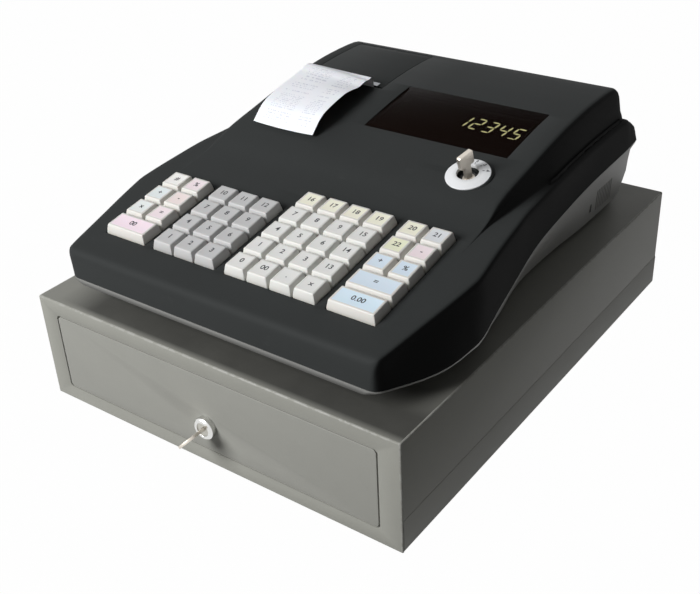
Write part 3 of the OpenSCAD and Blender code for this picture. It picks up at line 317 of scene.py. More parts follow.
def textured_paint(name, colour, worn=True):
    """Stoved paint with a fine orange peel and mottling. With worn set, the cabinet's edges are rubbed, and
    its top is painted darker as shade, most of all in a painted shadow before the register unit."""
    f = Finish(name)
    mottle, peel, speck = f.noise(38, 4, 0.6), f.noise(900, 2), f.noise(3400, 1)
    colour = f.mix(mottle, scaled(colour, 0.94), scaled(colour, 1.05))
    colour = f.mix(f.level(speck, 0, 0.22), colour, (0.16, 0.16, 0.15))
    rough = f.level(mottle, 0.4, 0.5)
    if worn:
        x, y, z = f.axes()
        front, band = y - CASE_LOW.y, 0.0013
        near_side, near_front, near_top = CASE_HIGH.x - x.size() < band, front < band, CASE_HIGH.z - z < band
        edge = (near_side * near_front).or_else(near_side * near_top).or_else(near_front * near_top)
        rubbed = edge * (f.noise(160, 5, 0.7) > 0.5)
        # Painted shade: the top is darkened all over, and most in a painted shadow before the register unit
        top = near_top * (1 - near_side) * (1 - near_front)
        shade = f.level(front, 0, 1, 0.002, 0.00655) * f.level(front, 1, 0, 0.02667, 0.06)
        shade = shade * f.level(x - CASE_LOW.x, 0, 1, 0.016, 0.04933)
        colour = f.mix(top * (f.level(mottle, 0.26, 0.4) + shade * 0.52), colour, (0.03, 0.03, 0.028))
        colour = f.mix(rubbed * 0.35, colour, (0.42, 0.42, 0.4))
        rough = rough - rubbed * 0.12
    return f.surface(
        Base_Color=colour, Roughness=rough, Metallic=f.level(speck, 0.0, 0.06),
        Normal=f.relief(peel + speck * 0.5, 0.00005, 0.55), Specular_IOR_Level=0.08,
    )


def moulded(name, colour, rough=0.52, grain=2600, depth=0.00006, scuff=0.3, gleam=0.5, foot=None):
    """Moulded plastic. With a foot, it is in shade low at its front, up to 15 mm over this height."""
    f = Finish(name)
    drift, etched, scuffs, tint = f.moulding(colour, 0.1, grain, 0.55)
    tint = f.mix(f.level(scuffs, 0, 0.05 * scuff), tint, (0.5, 0.5, 0.5))
    if foot:
        y, z = f.axes()[1:]
        low = f.level(z - foot, 0.9, 0.05, 0.0108, 0.0148) * f.level(y - COVER_LOW.y, 1, 0, 0.03667, 0.07)
        tint = f.mix(low, tint, (0.02, 0.02, 0.02))
    gloss = f.level(drift, rough - 0.05, rough + 0.05) - scuffs * 0.08 * scuff
    return f.surface(
        Base_Color=tint, Roughness=gloss, Normal=f.relief(etched, depth, 0.6), Specular_IOR_Level=gleam
    )


def cover_finish(name, colour):
    """The cover's charcoal plastic, with painted shade that darkens it to black round onto its sides."""
    f = Finish(name)
    drift, etched, scuffs, tint = f.moulding(colour, 0.08, 2600, 0.6)
    side = f.node("ShaderNodeAttribute", {"attribute_name": "side"}, out="Fac")
    tint = f.mix(scuffs * 0.012, tint, (0.5, 0.5, 0.5))
    # Painted shade: where the side attribute is high, the colour goes near black
    tint = f.mix(side * 0.94, tint, (0.002, 0.002, 0.002))
    return f.surface(
        Base_Color=tint, Roughness=f.level(drift, 0.5, 0.58) + side * 0.12,
        Normal=f.relief(etched, 0.00007, 0.6), Specular_IOR_Level=0.03,
    )


def key_plastic(name, colour):
    """Key plastic: darker and browner low on the sides, slow drift of shade, a fine grain."""
    f = Finish(name)
    grain, drift = f.noise(3800, 2, 0.6), f.noise(70, 3)
    y, z = f.axes()[1:]
    base = on_deck().translation
    lift = (z - base.z) * cos(DECK_ANGLE) - (y - base.y) * sin(DECK_ANGLE)
    low = f.ramp(lift / KEY_TOP, (0.0, 1.0), (0.3, 0.2), (0.6, 0.0))
    tint = f.mix(drift * 0.12, colour, (0.62, 0.61, 0.58))
    tint = f.mix(low * 0.35, tint, [c * share for c, share in zip(colour, (0.6, 0.57, 0.5))])
    return f.surface(
        Base_Color=tint, Roughness=f.level(drift, 0.38, 0.47), Normal=f.relief(grain, 0.00002, 0.5),
        Subsurface_Weight=0.03, Subsurface_Scale=0.002, Specular_IOR_Level=0.4,
    )


def bright_metal(name, colour, rough=0.16, scratch=0.25, brushed=(1, 1, 1)):
    """Plated metal with fine scratches and fingered patches."""
    f = Finish(name)
    patches = f.noise(90, 4, 0.65)
    lines = f.noise(1500, 3, 0.7, stretch=brushed)
    tint = f.mix(f.level(patches, 0, 0.35), colour, scaled(colour, 0.78))
    shine = f.level(patches, rough * 0.75, rough * 1.4) + f.level(lines, 0, 0.12 * scratch)
    return f.surface(Base_Color=tint, Metallic=1.0, Roughness=shine, Normal=f.relief(lines, 0.00001, scratch))


def spangled(name, colour):
    """Galvanised sheet: crystals of slightly different grey, with a dry bloom."""
    f = Finish(name)
    sockets = {"Vector": f.coordinates, "Scale": 260}
    cells = f.node("ShaderNodeTexVoronoi", {"feature": "F1"}, sockets, "Color")
    level = f.node("ShaderNodeRGBToBW", {}, {"Color": cells})
    bloom = f.noise(28, 5, 0.7)
    tint = f.mix(level, scaled(colour, 0.8), colour)
    tint = f.mix(f.level(bloom, 0, 0.4), tint, (0.52, 0.53, 0.54))
    return f.surface(
        Base_Color=tint, Metallic=f.level(bloom, 0.9, 0.6), Roughness=f.level(level, 0.3, 0.46),
        Normal=f.relief(level, 0.00001, 0.3),
    )


def rubber(name, colour, rough=0.8):
    """Matt rubber with a dusty, dimpled skin."""
    f = Finish(name)
    dust, skin = f.noise(120, 5, 0.7), f.noise(1900, 2)
    tint = f.mix(f.level(dust, 0, 0.25), colour, (0.16, 0.155, 0.15))
    gloss = f.level(dust, rough - 0.06, rough + 0.1)
    return f.surface(Base_Color=tint, Roughness=gloss, Normal=f.relief(skin, 0.00005))


def circuit(name, colour, pitch=0.00254):
    """Circuit board: solder mask over traces on a grid, with tinned pads."""
    f = Finish(name)
    x, y = f.axes()[:2]
    column, row = (x / pitch).part() - 0.5, (y / pitch).part() - 0.5
    chance = f.noise(180, 0)
    along = (row.size() < 0.14) * (chance > 0.5)
    across = (column.size() < 0.14) * (chance < 0.46)
    traces = along.or_else(across)
    pads = (column ** 2 + row ** 2 < 0.055) * (f.noise(420, 0) > 0.58)
    tint = f.mix(traces * 0.55, colour, [min(1, c * 2.4) for c in colour])
    tint = f.mix(pads, tint, (0.6, 0.6, 0.58))
    return f.surface(
        Base_Color=tint, Roughness=f.level(pads, 0.42, 0.28), Metallic=pads * 0.9,
        Normal=f.relief(traces + pads, 0.00006, 0.6),
    )


def paper_finish(name, rows=64):
    """Receipt paper with rows of faint grey print in two columns, and fibre in its surface."""
    f = Finish(name)
    u, v = f.axes(f.node("ShaderNodeUVMap", {"uv_map": "strip"}))[:2]
    fibre = f.noise(700, 4, 0.7)
    line, row = (v * rows).part(), (v * rows).whole()
    letters = f.noise(1, 1, at=f.node("ShaderNodeCombineXYZ", {}, {0: u * 46, 1: row * 3.7})) > 0.5
    skip = f.noise(1, 0, at=f.node("ShaderNodeCombineXYZ", {}, {0: row * 0.83})) > 0.42
    body = (line > 0.3) * (line < 0.72)
    columns = ((u > 0.12) * (u < 0.52)).or_else((u > 0.66) * (u < 0.88))
    printed = (v > 0.5) * (v < 0.955)
    marks = letters * body * columns * skip * printed
    tint = f.mix(fibre, tone(245, 244, 250), tone(252, 251, 255))
    tint = f.mix(marks * 0.36, tint, tone(140, 138, 168))
    return f.surface(
        Base_Color=tint, Roughness=f.level(fibre, 0.6, 0.75), Normal=f.relief(fibre, 0.00002, 0.4),
        Subsurface_Weight=0.1, Subsurface_Scale=0.001,
    )


def roll_finish(name, axis):
    """Wound paper: the turns show as fine rings on the ends."""
    f = Finish(name)
    y, z = f.axes()[1:]
    away = ((y - axis.y) ** 2 + (z - axis.z) ** 2) ** 0.5
    turns = (away * 3300).part()
    tint = f.mix(turns, tone(224, 224, 226), tone(243, 243, 244))
    return f.surface(Base_Color=tint, Roughness=0.7, Normal=f.relief(turns, 0.00005, 0.4))


def smoked_glass(name, colour):
    """Smoked acrylic that lets lit figures through, with faint wipe marks."""
    f = Finish(name)
    wipe = f.noise(60, 5, 0.7, stretch=(1, 4, 1))
    return f.surface(
        Base_Color=f.mix(f.level(wipe, 0, 0.4), colour, scaled(colour, 1.2)),
        Roughness=f.level(wipe, 0.05, 0.09), Alpha=0.74, Specular_IOR_Level=0.005,
    )


def lit(name, colour, strength):
    """Glowing segments, slightly uneven."""
    f = Finish(name)
    glow = f.mix(f.noise(500, 1), scaled(colour, 0.8), colour)
    return f.surface(Base_Color=colour, Emission_Color=glow, Emission_Strength=strength, Roughness=0.5)


def printed_ring(name, colour, centre):
    """White ring of the mode lock with a slightly raised gloss and fine wear round its hole."""
    f = Finish(name)
    x, y = f.axes()[:2]
    away = ((x - centre.x) ** 2 + (y - centre.y) ** 2) ** 0.5
    worn = f.ramp(away / RING_OUT, (0.55, 1.0), (0.68, 0.0))
    speck = f.noise(600, 3, 0.7)
    tint = f.mix(worn * speck * 0.5, colour, tone(150, 150, 150))
    gloss = f.level(speck, 0.34, 0.46)
    return f.surface(Base_Color=tint, Roughness=gloss, Normal=f.relief(speck, 0.00002, 0.3))


# Screen colours of the crowns, and of the bodies where they aren't ivory. Besides each key's colour, the
# crowns hold painted light: they are set lighter than the bodies.
CROWN_TONES_WITH_PAINTED_LIGHT = {
    "key_cream": (247, 246, 243), "key_pink": (243, 228, 233), "key_cyan": (228, 236, 237),
    "key_peach": (241, 226, 224), "key_mint": (232, 237, 236), "key_lilac": (250, 230, 241),
    "key_grey": (189, 189, 190), "key_white": (227, 227, 225), "key_yellow": (244, 242, 222),
    "key_bluewhite": (221, 225, 229), "key_green": (236, 238, 208), "key_blue": (215, 230, 244),
    "key_sky": (217, 237, 251),
}
KEY_BODIES = {"key_grey": (188, 188, 188), "key_white": (217, 217, 213)}
IVORY = (216, 214, 209)
OTHER_CROWNS = {"key_d5": "key_blue"}
FINISHES = {}


def make_finishes(scene):
    """Every finish by the name of its slot in the record."""
    cabinet, housing, keyboard, display = scene.cabinet, scene.housing, scene.keyboard, scene.readout
    roll, ring = (sum(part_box(node), Vector()) / 2 for node in ("paper_roll", "mode_plate"))
    FINISHES.update(
        case_paint=textured_paint("cabinet_paint", list(cabinet.paint)),
        front_paint=textured_paint("panel_paint", list(cabinet.panel), worn=False),
        rubber_black=rubber("black_rubber", tone(34, 34, 34)),
        zinc=spangled("galvanised_sheet", tone(176, 180, 184)),
        roller_plastic=moulded("roller_nylon", tone(222, 220, 210), 0.4, 1500, 0.00002),
        till_plastic=moulded("till_plastic", tone(38, 38, 40), 0.5, 1800, 0.00008, scuff=1.0),
        clip_metal=bright_metal("clip_steel", tone(150, 152, 156), 0.34, 0.5, (1, 0.06, 1)),
        chrome=bright_metal("chrome", tone(226, 226, 224), 0.2, 0.2),
        lock_brass=bright_metal("plug_nickel", tone(190, 188, 180), 0.24, 0.4),
        key_metal=bright_metal("key_nickel", tone(212, 205, 195), 0.42, 0.6, (1, 1, 0.1)),
        solenoid_metal=bright_metal("core_steel", tone(150, 148, 142), 0.42, 0.5, (1, 0.1, 1)),
        spring_steel=bright_metal("spring_wire", tone(176, 178, 184), 0.25, 0.3),
        base_plastic=moulded("base_plastic", list(housing.base), 0.5, 2100, 0.00009, foot=BASE_FOOT),
        cover_plastic=cover_finish("cover_plastic", list(housing.cover)),
        screw_metal=bright_metal("screw_zinc", tone(190, 190, 184), 0.3, 0.3),
        board_dark=moulded("guide_plastic", tone(30, 31, 33), 0.55, 1500),
        circuit_board=circuit("circuit_board", tone(22, 74, 44)),
        printer_plastic=moulded("printer_plastic", tone(70, 72, 74), 0.5, 1800),
        head_metal=bright_metal("head_alloy", tone(170, 172, 176), 0.36, 0.5, (0.05, 1, 1)),
        platen_rubber=rubber("platen_rubber", tone(40, 40, 42), 0.7),
        paper=paper_finish("receipt_paper"),
        window_glass=smoked_glass("smoked_window", list(display.tint)),
        ring_white=printed_ring("ring_white", tone(226, 228, 230), ring),
        lock_black=moulded("lock_black", tone(24, 24, 25), 0.35, 1600, 0.00002),
        gland_plastic=moulded("gland_plastic", tone(28, 28, 28), 0.55, 1200),
        roll_paper=roll_finish("wound_paper", roll),
        ink=moulded("legend_ink", list(keyboard.ink), 0.5, 3000, 0.00001),
        glow=lit("lit_segments", list(display.glow), 8.5),
        mask=moulded("display_mask", tone(9, 8, 8), 0.7, 1500, gleam=0.02),
        tube=moulded("tube_glass", tone(9, 8, 8), 0.35, 300, 0.000005, gleam=0.02),
    )
    # The crowns' lighter tones are painted light on the key tops
    for slot, crown in CROWN_TONES_WITH_PAINTED_LIGHT.items():
        body = tone(*KEY_BODIES.get(slot, IVORY))
        FINISHES[slot] = key_plastic(slot + "_body", scaled(body, keyboard.shade))
        FINISHES[slot + "_crown"] = key_plastic(slot + "_crown", scaled(tone(*crown), keyboard.shade))


def mesh_of(bm, name):
    """A mesh of this bmesh, which ends with it."""
    mesh = bpy.data.meshes.new(name)
    bm.to_mesh(mesh)
    bm.free()
    return mesh


def linked(name, data):
    """A new object in the scene."""
    made = bpy.data.objects.new(name, data)
    bpy.context.scene.collection.objects.link(made)
    return made


def settle(bm, name, body, slot, finishes=(), replaces=(), angle=32):
    """Makes a bmesh a piece: smooth faces, sharp edges past the angle, on its body and in its slot. Its
    finishes are those named, or else that of its slot."""
    for face in bm.faces:
        face.smooth = True
    for edge in bm.edges:
        edge.smooth = len(edge.link_faces) == 2 and edge.calc_face_angle(pi) < radians(angle)
    piece = linked(name, mesh_of(bm, name))
    for finish in finishes or [slot]:
        piece.data.materials.append(FINISHES[finish])
    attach(piece, body)
    if replaces:
        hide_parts(*replaces)
    return piece


def joined_copy(node, flat=0.5):
    """The node's shape with its loose triangles joined and its flat faces made whole."""
    bm = bmesh.new()
    bm.from_mesh(frame["nodes"][node].data)
    bmesh.ops.remove_doubles(bm, verts=bm.verts, dist=2e-6)
    bmesh.ops.dissolve_limit(bm, angle_limit=radians(flat), verts=bm.verts, edges=bm.edges)
    return bm


def bevelled(bm, edges, width, segments):
    """Rounds these edges."""
    bmesh.ops.bevel(
        bm, geom=edges, offset=width, offset_type="OFFSET", affect="EDGES", segments=segments, profile=0.5,
        material=-1, clamp_overlap=True,
    )


def soften(bm, width, segments=2, angle=40, pick=None):
    """Rounds the edges that turn more than the angle, or those of them that pick accepts."""
    sharp = [e for e in bm.edges if len(e.link_faces) == 2 and e.calc_face_angle(0) > radians(angle)]
    bevelled(bm, [e for e in sharp if pick is None or pick(e)], width, segments)


def dressed(node, width=0.0, segments=2, angle=40, pick=None, smooth=32, finish=None):
    """The node's shape with softened edges, standing for the node."""
    bm = joined_copy(node)
    if width:
        soften(bm, width, segments, angle, pick)
    return settle(bm, node + "_finished", BODY[node], SLOT[node], [finish or SLOT[node]], [node], smooth)


def on_plane(axis, at, near=2e-5):
    """A test of whether an edge or a face lies in a plane square to an axis."""
    return lambda part: all(abs(v.co[axis] - at) < near for v in part.verts)


def rounded_block(bm, size, at, place=Matrix.Identity(4), radius=0.0, segments=2, pick=None):
    """A block in a local frame with rounded edges, or only those that pick accepts."""
    shape = Matrix.Translation(at) @ Matrix.Diagonal((*size, 1))
    made = bmesh.ops.create_cube(bm, size=1, matrix=place @ shape)
    if radius:
        edges = {e for v in made["verts"] for e in v.link_edges}
        bevelled(bm, [e for e in edges if pick is None or pick(e)], radius, segments)


def disc(bm, radius, depth, place=Matrix.Identity(4), segments=64):
    """A closed disc about the local Z axis, and its corners."""
    return bmesh.ops.create_cone(
        bm, cap_ends=True, segments=segments, radius1=radius, radius2=radius, depth=depth, matrix=place
    )["verts"]


# Height of the built-in font's figures, as a share of its size
FIGURE_SHARE = 0.72


def lettering(bm, text, height, place, finish=1):
    """Figures in the local XY plane, with their middle at the frame's origin, as thin raised ink."""
    curve = bpy.data.curves.new("figures", "FONT")
    curve.body = text
    curve.size = height / FIGURE_SHARE
    curve.align_x = "CENTER"
    curve.align_y = "CENTER"
    curve.extrude = 0.00002
    curve.offset = 0.00009
    curve.resolution_u = 3
    holder = linked("figures", curve)
    bpy.context.view_layer.update()
    mesh = holder.to_mesh().copy()
    bpy.data.objects.remove(holder)
    old = set(bm.verts)
    bm.from_mesh(mesh)
    bpy.data.meshes.remove(mesh)
    for vert in [v for v in bm.verts if v not in old]:
        vert.co = place @ vert.co
        for face in vert.link_faces:
            face.material_index = finish


def curve_at(knots, at):
    """Smooth curve through the knots, as the source draws it."""
    i = 0
    while i < len(knots) - 2 and at >= knots[i + 1][0]:
        i += 1

    def slope(k):
        a, b = max(k - 1, 0), min(k + 1, len(knots) - 1)
        return (knots[b][1] - knots[a][1]) / (knots[b][0] - knots[a][0])

    h = knots[i + 1][0] - knots[i][0]
    t = min(max((at - knots[i][0]) / h, 0), 1)
    return ((2 * t**3 - 3 * t**2 + 1) * knots[i][1] + (t**3 - 2 * t**2 + t) * h * slope(i)
            + (3 * t**2 - 2 * t**3) * knots[i + 1][1] + (t**3 - t**2) * h * slope(i + 1))


def straight_at(knots, at):
    """Straight lines through the knots."""
    for (a, low), (b, high) in zip(knots, knots[1:]):
        if at <= b:
            return low + (high - low) * max(at - a, 0) / (b - a)
    return knots[-1][1]


def round_in(d, r):
    """How far a corner of radius r draws back at a distance d from its end."""
    return r - sqrt(max(r * r - (r - d) ** 2, 0)) if d < r else 0


def deck_z(u):
    """Height of the keyboard deck's plane."""
    return CASE_TOP + DECK_H + tan(DECK_ANGLE) * u


def top_z(u):
    """Height of the cover's top: deck, hump, and the fall to the rear."""
    low, high = deck_z(DECK_L), CASE_TOP + HUMP_H
    if u <= DECK_L:
        return deck_z(u) - round_in(u, CORNER_R)
    if u <= HUMP_TOP_U:
        return low + (high - low) * curve_at(HUMP_SHAPE, (u - DECK_L) / (HUMP_TOP_U - DECK_L))
    return high - straight_at(REAR_FALL, u - HUMP_TOP_U)


def bend(a, corner, b, steps):
    """Points of a rounded corner from a to b."""
    return [
        tuple((1 - t) ** 2 * a[i] + 2 * t * (1 - t) * corner[i] + t * t * b[i] for i in (0, 1))
        for t in (k / steps for k in range(steps + 1))
    ]


def cover_half(u):
    """Right half of the cover's section, from its lower edge (b) over its shoulder (s) to its top (t)."""
    share = u / UNIT_L
    zt, zb = top_z(u), CASE_TOP + SKIRT_H + curve_at(SKIRT_RISE, share)
    zs = zt if share < 0.3 else min(deck_z(u) - curve_at(SHOULDER_DROP, share), zt)
    h = max(zt - zs, 0)
    turn = round_in(u, CORNER_R)
    xb = HALF_W - curve_at(SKIRT_INSET, share) - turn
    xs = HALF_W - curve_at(DECK_INSET, share) - turn
    xt = min(HUMP_HALF, xs - EDGE_R - 1)
    rs, rt = min(EDGE_R, (zs - zb) / 3), min(EDGE_R, h / 2)
    xf = min(xt + 0.38 * h, xs - rs - 0.6)
    mid = ((2 * xb + xs) / 3, zb + (zs - rs - zb) * 0.4)
    foot = min(2.2, h * 0.4)
    lean = ((xf - xt) * 0.3, h * 0.3)
    side = bend((xb, zb), mid, (xs + 0.2, zs - rs), 5)
    shoulder = bend((xs + 0.2, zs - rs), (xs, zs), (xs - rs, zs), 6)[1:]
    ledge = [(xs - rs - (xs - rs - xf - foot) * k / 3, zs) for k in (1, 2)]
    out = max(min(foot, xs - rs - xf), 0.05)
    rise_foot = bend((xf + out, zs), (xf, zs), (xf - lean[0], zs + lean[1]), 5)
    crown = bend((xt - 0.3 + 0.1 * rt, zt - rt), (xt - 0.45, zt), (xt - 1 - rt, zt), 6)
    return side + shoulder + ledge + rise_foot + crown + [(xt * 0.66, zt), (xt * 0.33, zt), (0, zt)]


def unit_stations(steps=76):
    """Stations along the unit, close together where the outline turns."""
    near = [0, 0.15, 0.5, 1, 1.7, 2.6, 3.7, 5, 7, 9, 12, 15]
    middle = [near[-1] + (HUMP_TOP_U - near[-1]) * k / steps for k in range(1, steps + 1)]
    rear = [4, 8, 12, 17, 22, 24.5, 27, 28.5, 30, 31, 32, 36.5, 40.7, 41.8, 43, 44.7, 46.4, 49.7, 53, 54.2,
            55.4]
    return near + middle + [HUMP_TOP_U + d for d in rear]


def lofted(sections, ys):
    """A skin over sections of equally many points, from a grid whose points are moved onto them."""
    bm = bmesh.new()
    across, along = len(sections[0]) - 1, len(sections) - 1
    bmesh.ops.create_grid(bm, x_segments=across, y_segments=along, size=1)
    for vert in bm.verts:
        i = round((vert.co.y + 1) / 2 * along)
        j = round((vert.co.x + 1) / 2 * across)
        x, z = sections[i][j]
        vert.co = (x * MM, ys[i] * MM, z * MM)
    return bm


def cap_end(bm, y):
    """Closes the open end of a skin at a place along the unit."""
    rim = [e for e in bm.edges if e.is_boundary and all(abs(v.co.y - y) < 1e-7 for v in e.verts)]
    ends = [v for v in {v for e in rim for v in e.verts} if sum(e in rim for e in v.link_edges) == 1]
    closing = bm.edges.new(ends)
    bmesh.ops.contextual_create(bm, geom=rim + [closing])


def cutter(build):
    """A helper whose shape is taken out of a piece."""
    bm = bmesh.new()
    build(bm)
    bmesh.ops.recalc_face_normals(bm, faces=bm.faces)
    return linked(build.__name__, mesh_of(bm, build.__name__))


def mark_sides(piece):
    """Keeps, at each point of the cover, how far it takes the painted shade of its sides."""
    values = []
    for vert in piece.data.vertices:
        x, u = abs(vert.co.x) / MM, vert.co.y / MM - NOSE_Y
        turn = (abs(vert.normal.x) - 0.3) / 0.4 if x > HUMP_HALF - 8 else 0
        ledge = min((x - HUMP_HALF + 1) / 3, (u / UNIT_L - 0.44) / 0.16)
        values.append(eased(max(turn, ledge)))
    mark = piece.data.attributes.new("side", "FLOAT", "POINT")
    mark.data.foreach_set("value", values)


def made_solid(piece):
    """Makes a piece's modifiers part of its mesh."""
    bpy.context.view_layer.update()
    graph = bpy.context.evaluated_depsgraph_get()
    shape = piece.evaluated_get(graph)
    mesh = bpy.data.meshes.new_from_object(shape, preserve_all_data_layers=True, depsgraph=graph)
    piece.modifiers.clear()
    piece.data = mesh


def at_unit(x, u, z):
    """A shift to a place on the unit in millimetres."""
    return Matrix.Translation((x * MM, (NOSE_Y + u) * MM, z * MM))


def on_deck():
    """Frame of the keyboard deck: X to the right, Y up its slope, Z out of it."""
    return at_unit(0, KEYBOARD_U, deck_z(KEYBOARD_U)) @ Matrix.Rotation(DECK_ANGLE, 4, "X")


def on_window():
    """Frame of the display window, at the middle of its front edge."""
    slope = Matrix.Rotation(atan2(top_z(WINDOW_U + WINDOW_L) - top_z(WINDOW_U), WINDOW_L), 4, "X")
    middle = (WINDOW_LOW.x + WINDOW_HIGH.x) / 2 / MM
    return at_unit(middle, WINDOW_U, top_z(WINDOW_U) + 0.1) @ slope


def on_mode():
    """Frame of the mode lock's seat."""
    return at_unit(MODE_X, MODE_U, top_z(MODE_U) + 1) @ Matrix.Rotation(radians(17), 4, "X")


# Sizes in metres: key caps, and the ring and barrel of the mode lock
KEY_GAP = 0.0013
KEY_TAPER = 0.0013
KEY_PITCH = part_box("key_a2")[0].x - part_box("key_a1")[0].x
ROW_PITCH = (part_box("key_c5")[0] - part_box("key_c1")[0]).length / 4
KEY_TOP = max((on_deck().inverted() @ v.co).z for v in frame["nodes"]["key_a1"].data.vertices)
SKIRT_LOW, SKIRT_TOP = -0.0012, 0.0004
RING_OUT, RING_IN, RING_H = 0.016, 0.0093, 0.0016
BARREL_R = 0.00785


class REGISTER_OT_stage(bpy.types.Operator):
    """Camera at the photograph's angle, pale floor, soft lamps and white surroundings"""

    bl_idname = "register.stage"
    bl_label = "Stage"

    def execute(self, context):
        studio = context.scene.studio
        context.scene.view_settings.view_transform = "Standard"
        self.add_camera(context)
        self.add_floor()
        self.add_world(context, studio)
        self.add_lamp("front_lamp", Vector((-0.85, -1.8, 1.2)), 1.2, studio.key)
        self.add_lamp("top_lamp", Vector((-0.5, -0.4, 2.3)), 1.6, studio.fill)
        return {"FINISHED"}

    def add_camera(self, context):
        """The camera that was fitted to the photograph."""
        turn, lift, roll = radians(37.38), radians(31.11), radians(-2.89)
        aim, aside, down, away = Vector((0, 0.013, 0.05923)), 0.01602, 0.01973, 0.8371
        focal_pixels, wide_pixels = 1076.8, 700
        back = Vector((sin(turn) * cos(lift), -cos(turn) * cos(lift), sin(lift)))
        right = Vector((cos(turn), sin(turn), 0))
        up = back.cross(right)
        x = right * cos(roll) + up * sin(roll)
        y = up * cos(roll) - right * sin(roll)
        data = bpy.data.cameras.new("camera")
        data.sensor_fit = "HORIZONTAL"
        data.sensor_width = 36
        data.lens = focal_pixels / wide_pixels * data.sensor_width
        data.clip_start = 0.01
        camera = linked("camera", data)
        eye = aim - x * aside - y * down + back * away
        camera.matrix_world = Matrix.Translation(eye) @ Matrix((x, y, back)).transposed().to_4x4()
        context.scene.camera = camera

    def add_lamp(self, name, away, size, power):
        """A round soft lamp that looks at the middle of the register."""
        data = bpy.data.lights.new(name, "AREA")
        data.shape = "DISK"
        data.size = size
        data.energy = power
        lamp = linked(name, data)
        lamp.location = Vector((0, 0, 0.08)) + away
        lamp.rotation_euler = (-away).to_track_quat("-Z", "Y").to_euler()

    def add_floor(self):
        bm = bmesh.new()
        bmesh.ops.create_grid(bm, x_segments=4, y_segments=4, size=4)
        floor = linked("floor", mesh_of(bm, "floor"))
        f = Finish("pale_floor")
        grey = f.mix(f.noise(8, 2), (0.2, 0.2, 0.2), (0.23, 0.23, 0.23))
        matt = f.node("ShaderNodeBsdfDiffuse", {}, {"Color": grey})
        white = f.node("ShaderNodeEmission", {}, {"Color": (1, 1, 1), "Strength": 1.0})
        mixed = f.node("ShaderNodeMixShader", {}, {0: self.seen_rays(f) * 0.99, 1: matt, 2: white})
        f.node("ShaderNodeOutputMaterial", {}, {"Surface": mixed})
        floor.data.materials.append(f.owner)

    def seen_rays(self, f):
        """1 for rays that end in the camera directly, by a mirror or through glass."""
        rays = f.tree.nodes.new("ShaderNodeLightPath")
        total = Signal(f, rays.outputs["Is Camera Ray"])
        for name in ("Is Glossy Ray", "Is Transmission Ray"):
            total = total.or_else(Signal(f, rays.outputs[name]))
        return total

    def add_world(self, context, studio):
        world = bpy.data.worlds.new("surroundings")
        context.scene.world = world
        f = Finish("surroundings", world)
        soft = f.node("ShaderNodeBackground", {}, {"Color": (1, 1, 1), "Strength": studio.sky})
        white = f.node("ShaderNodeBackground", {}, {"Color": (1, 1, 1), "Strength": 1.0})
        share = self.seen_rays(f) * float(studio.white_back)
        mixed = f.node("ShaderNodeMixShader", {}, {0: share, 1: soft, 2: white})
        f.node("ShaderNodeOutputWorld", {}, {"Surface": mixed})


class REGISTER_OT_finishes(bpy.types.Operator):
    """Makes every finish and gives each CAD node its own"""

    bl_idname = "register.finishes"
    bl_label = "Finishes"

    def execute(self, context):
        make_finishes(context.scene)
        for name, node in frame["nodes"].items():
            for holder in node.material_slots:
                holder.material = FINISHES[SLOT[name]]
        return {"FINISHED"}


class REGISTER_OT_cabinet(bpy.types.Operator):
    """Folded steel cabinet with its pan, feet and drawer panel"""

    bl_idname = "register.cabinet"
    bl_label = "Drawer cabinet"

    def execute(self, context):
        look = context.scene.cabinet
        planes = [(0, CASE_LOW.x), (0, CASE_HIGH.x), (1, CASE_LOW.y), (1, CASE_HIGH.y), (2, CASE_HIGH.z)]
        tests = [on_plane(*plane) for plane in planes]
        front = on_plane(1, CASE_LOW.y)

        def folded(edge):
            return all(any(test(face) for test in tests) for face in edge.link_faces)

        bm = joined_copy("drawer_case")
        soften(bm, look.fold, 3, 40, folded)
        soften(bm, 0.0004, 2, 40, lambda edge: front(edge) and not folded(edge))
        settle(bm, "cabinet_case", "case", "case_paint", replaces=["drawer_case"])
        dressed("drawer_pan", 0.0009, 2, 40, on_plane(2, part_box("drawer_pan")[0].z))
        dressed("rubber_feet", 0.0006, 3, 40)
        dressed("drawer_front", look.rim, 3, 40, on_plane(1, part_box("drawer_front")[0].y))
        return {"FINISHED"}


class REGISTER_OT_drawer_inside(bpy.types.Operator):
    """Steel tray, till insert with scooped coin cups, note clips and rollers"""

    bl_idname = "register.drawer_inside"
    bl_label = "Drawer inside"

    def execute(self, context):
        near = 1e-5
        dressed("drawer_tray", 0.0004, 2, 40, on_plane(2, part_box("drawer_tray")[1].z, near))
        dressed("till_insert", 0.0008, 3, 40, on_plane(2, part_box("till_insert")[1].z, near))
        self.add_scoops()
        dressed("bill_clips", 0.0004, 2, 50)
        dressed("case_rollers", 0.0005, 2, 50)
        dressed("tray_rollers", 0.0005, 2, 50)
        return {"FINISHED"}

    def add_scoops(self):
        """A curved ramp at the front of each coin cup, so that coins slide up under a finger."""
        low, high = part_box("till_insert")
        cups, wall, reach, steps = 5, 0.0024, 0.03, 8
        width = (high.x - low.x - (cups + 1) * wall) / cups
        y0, z0 = low.y + wall, low.z + wall
        turns = [a * pi / 2 / steps for a in range(steps + 1)]
        arc = [(y0 + reach * (1 - sin(a)), z0 + reach * (1 - cos(a))) for a in turns]
        bm = bmesh.new()
        for k in range(cups):
            x0 = low.x + wall + k * (width + wall)
            face = bm.faces.new([bm.verts.new((x0, y, z)) for y, z in arc + [(y0, z0)]])
            moved = bmesh.ops.extrude_face_region(bm, geom=[face])
            shift = [v for v in moved["geom"] if isinstance(v, bmesh.types.BMVert)]
            bmesh.ops.translate(bm, verts=shift, vec=(width, 0, 0))
        bmesh.ops.recalc_face_normals(bm, faces=bm.faces)
        settle(bm, "coin_scoops", "drawer", "till_plastic", angle=40)


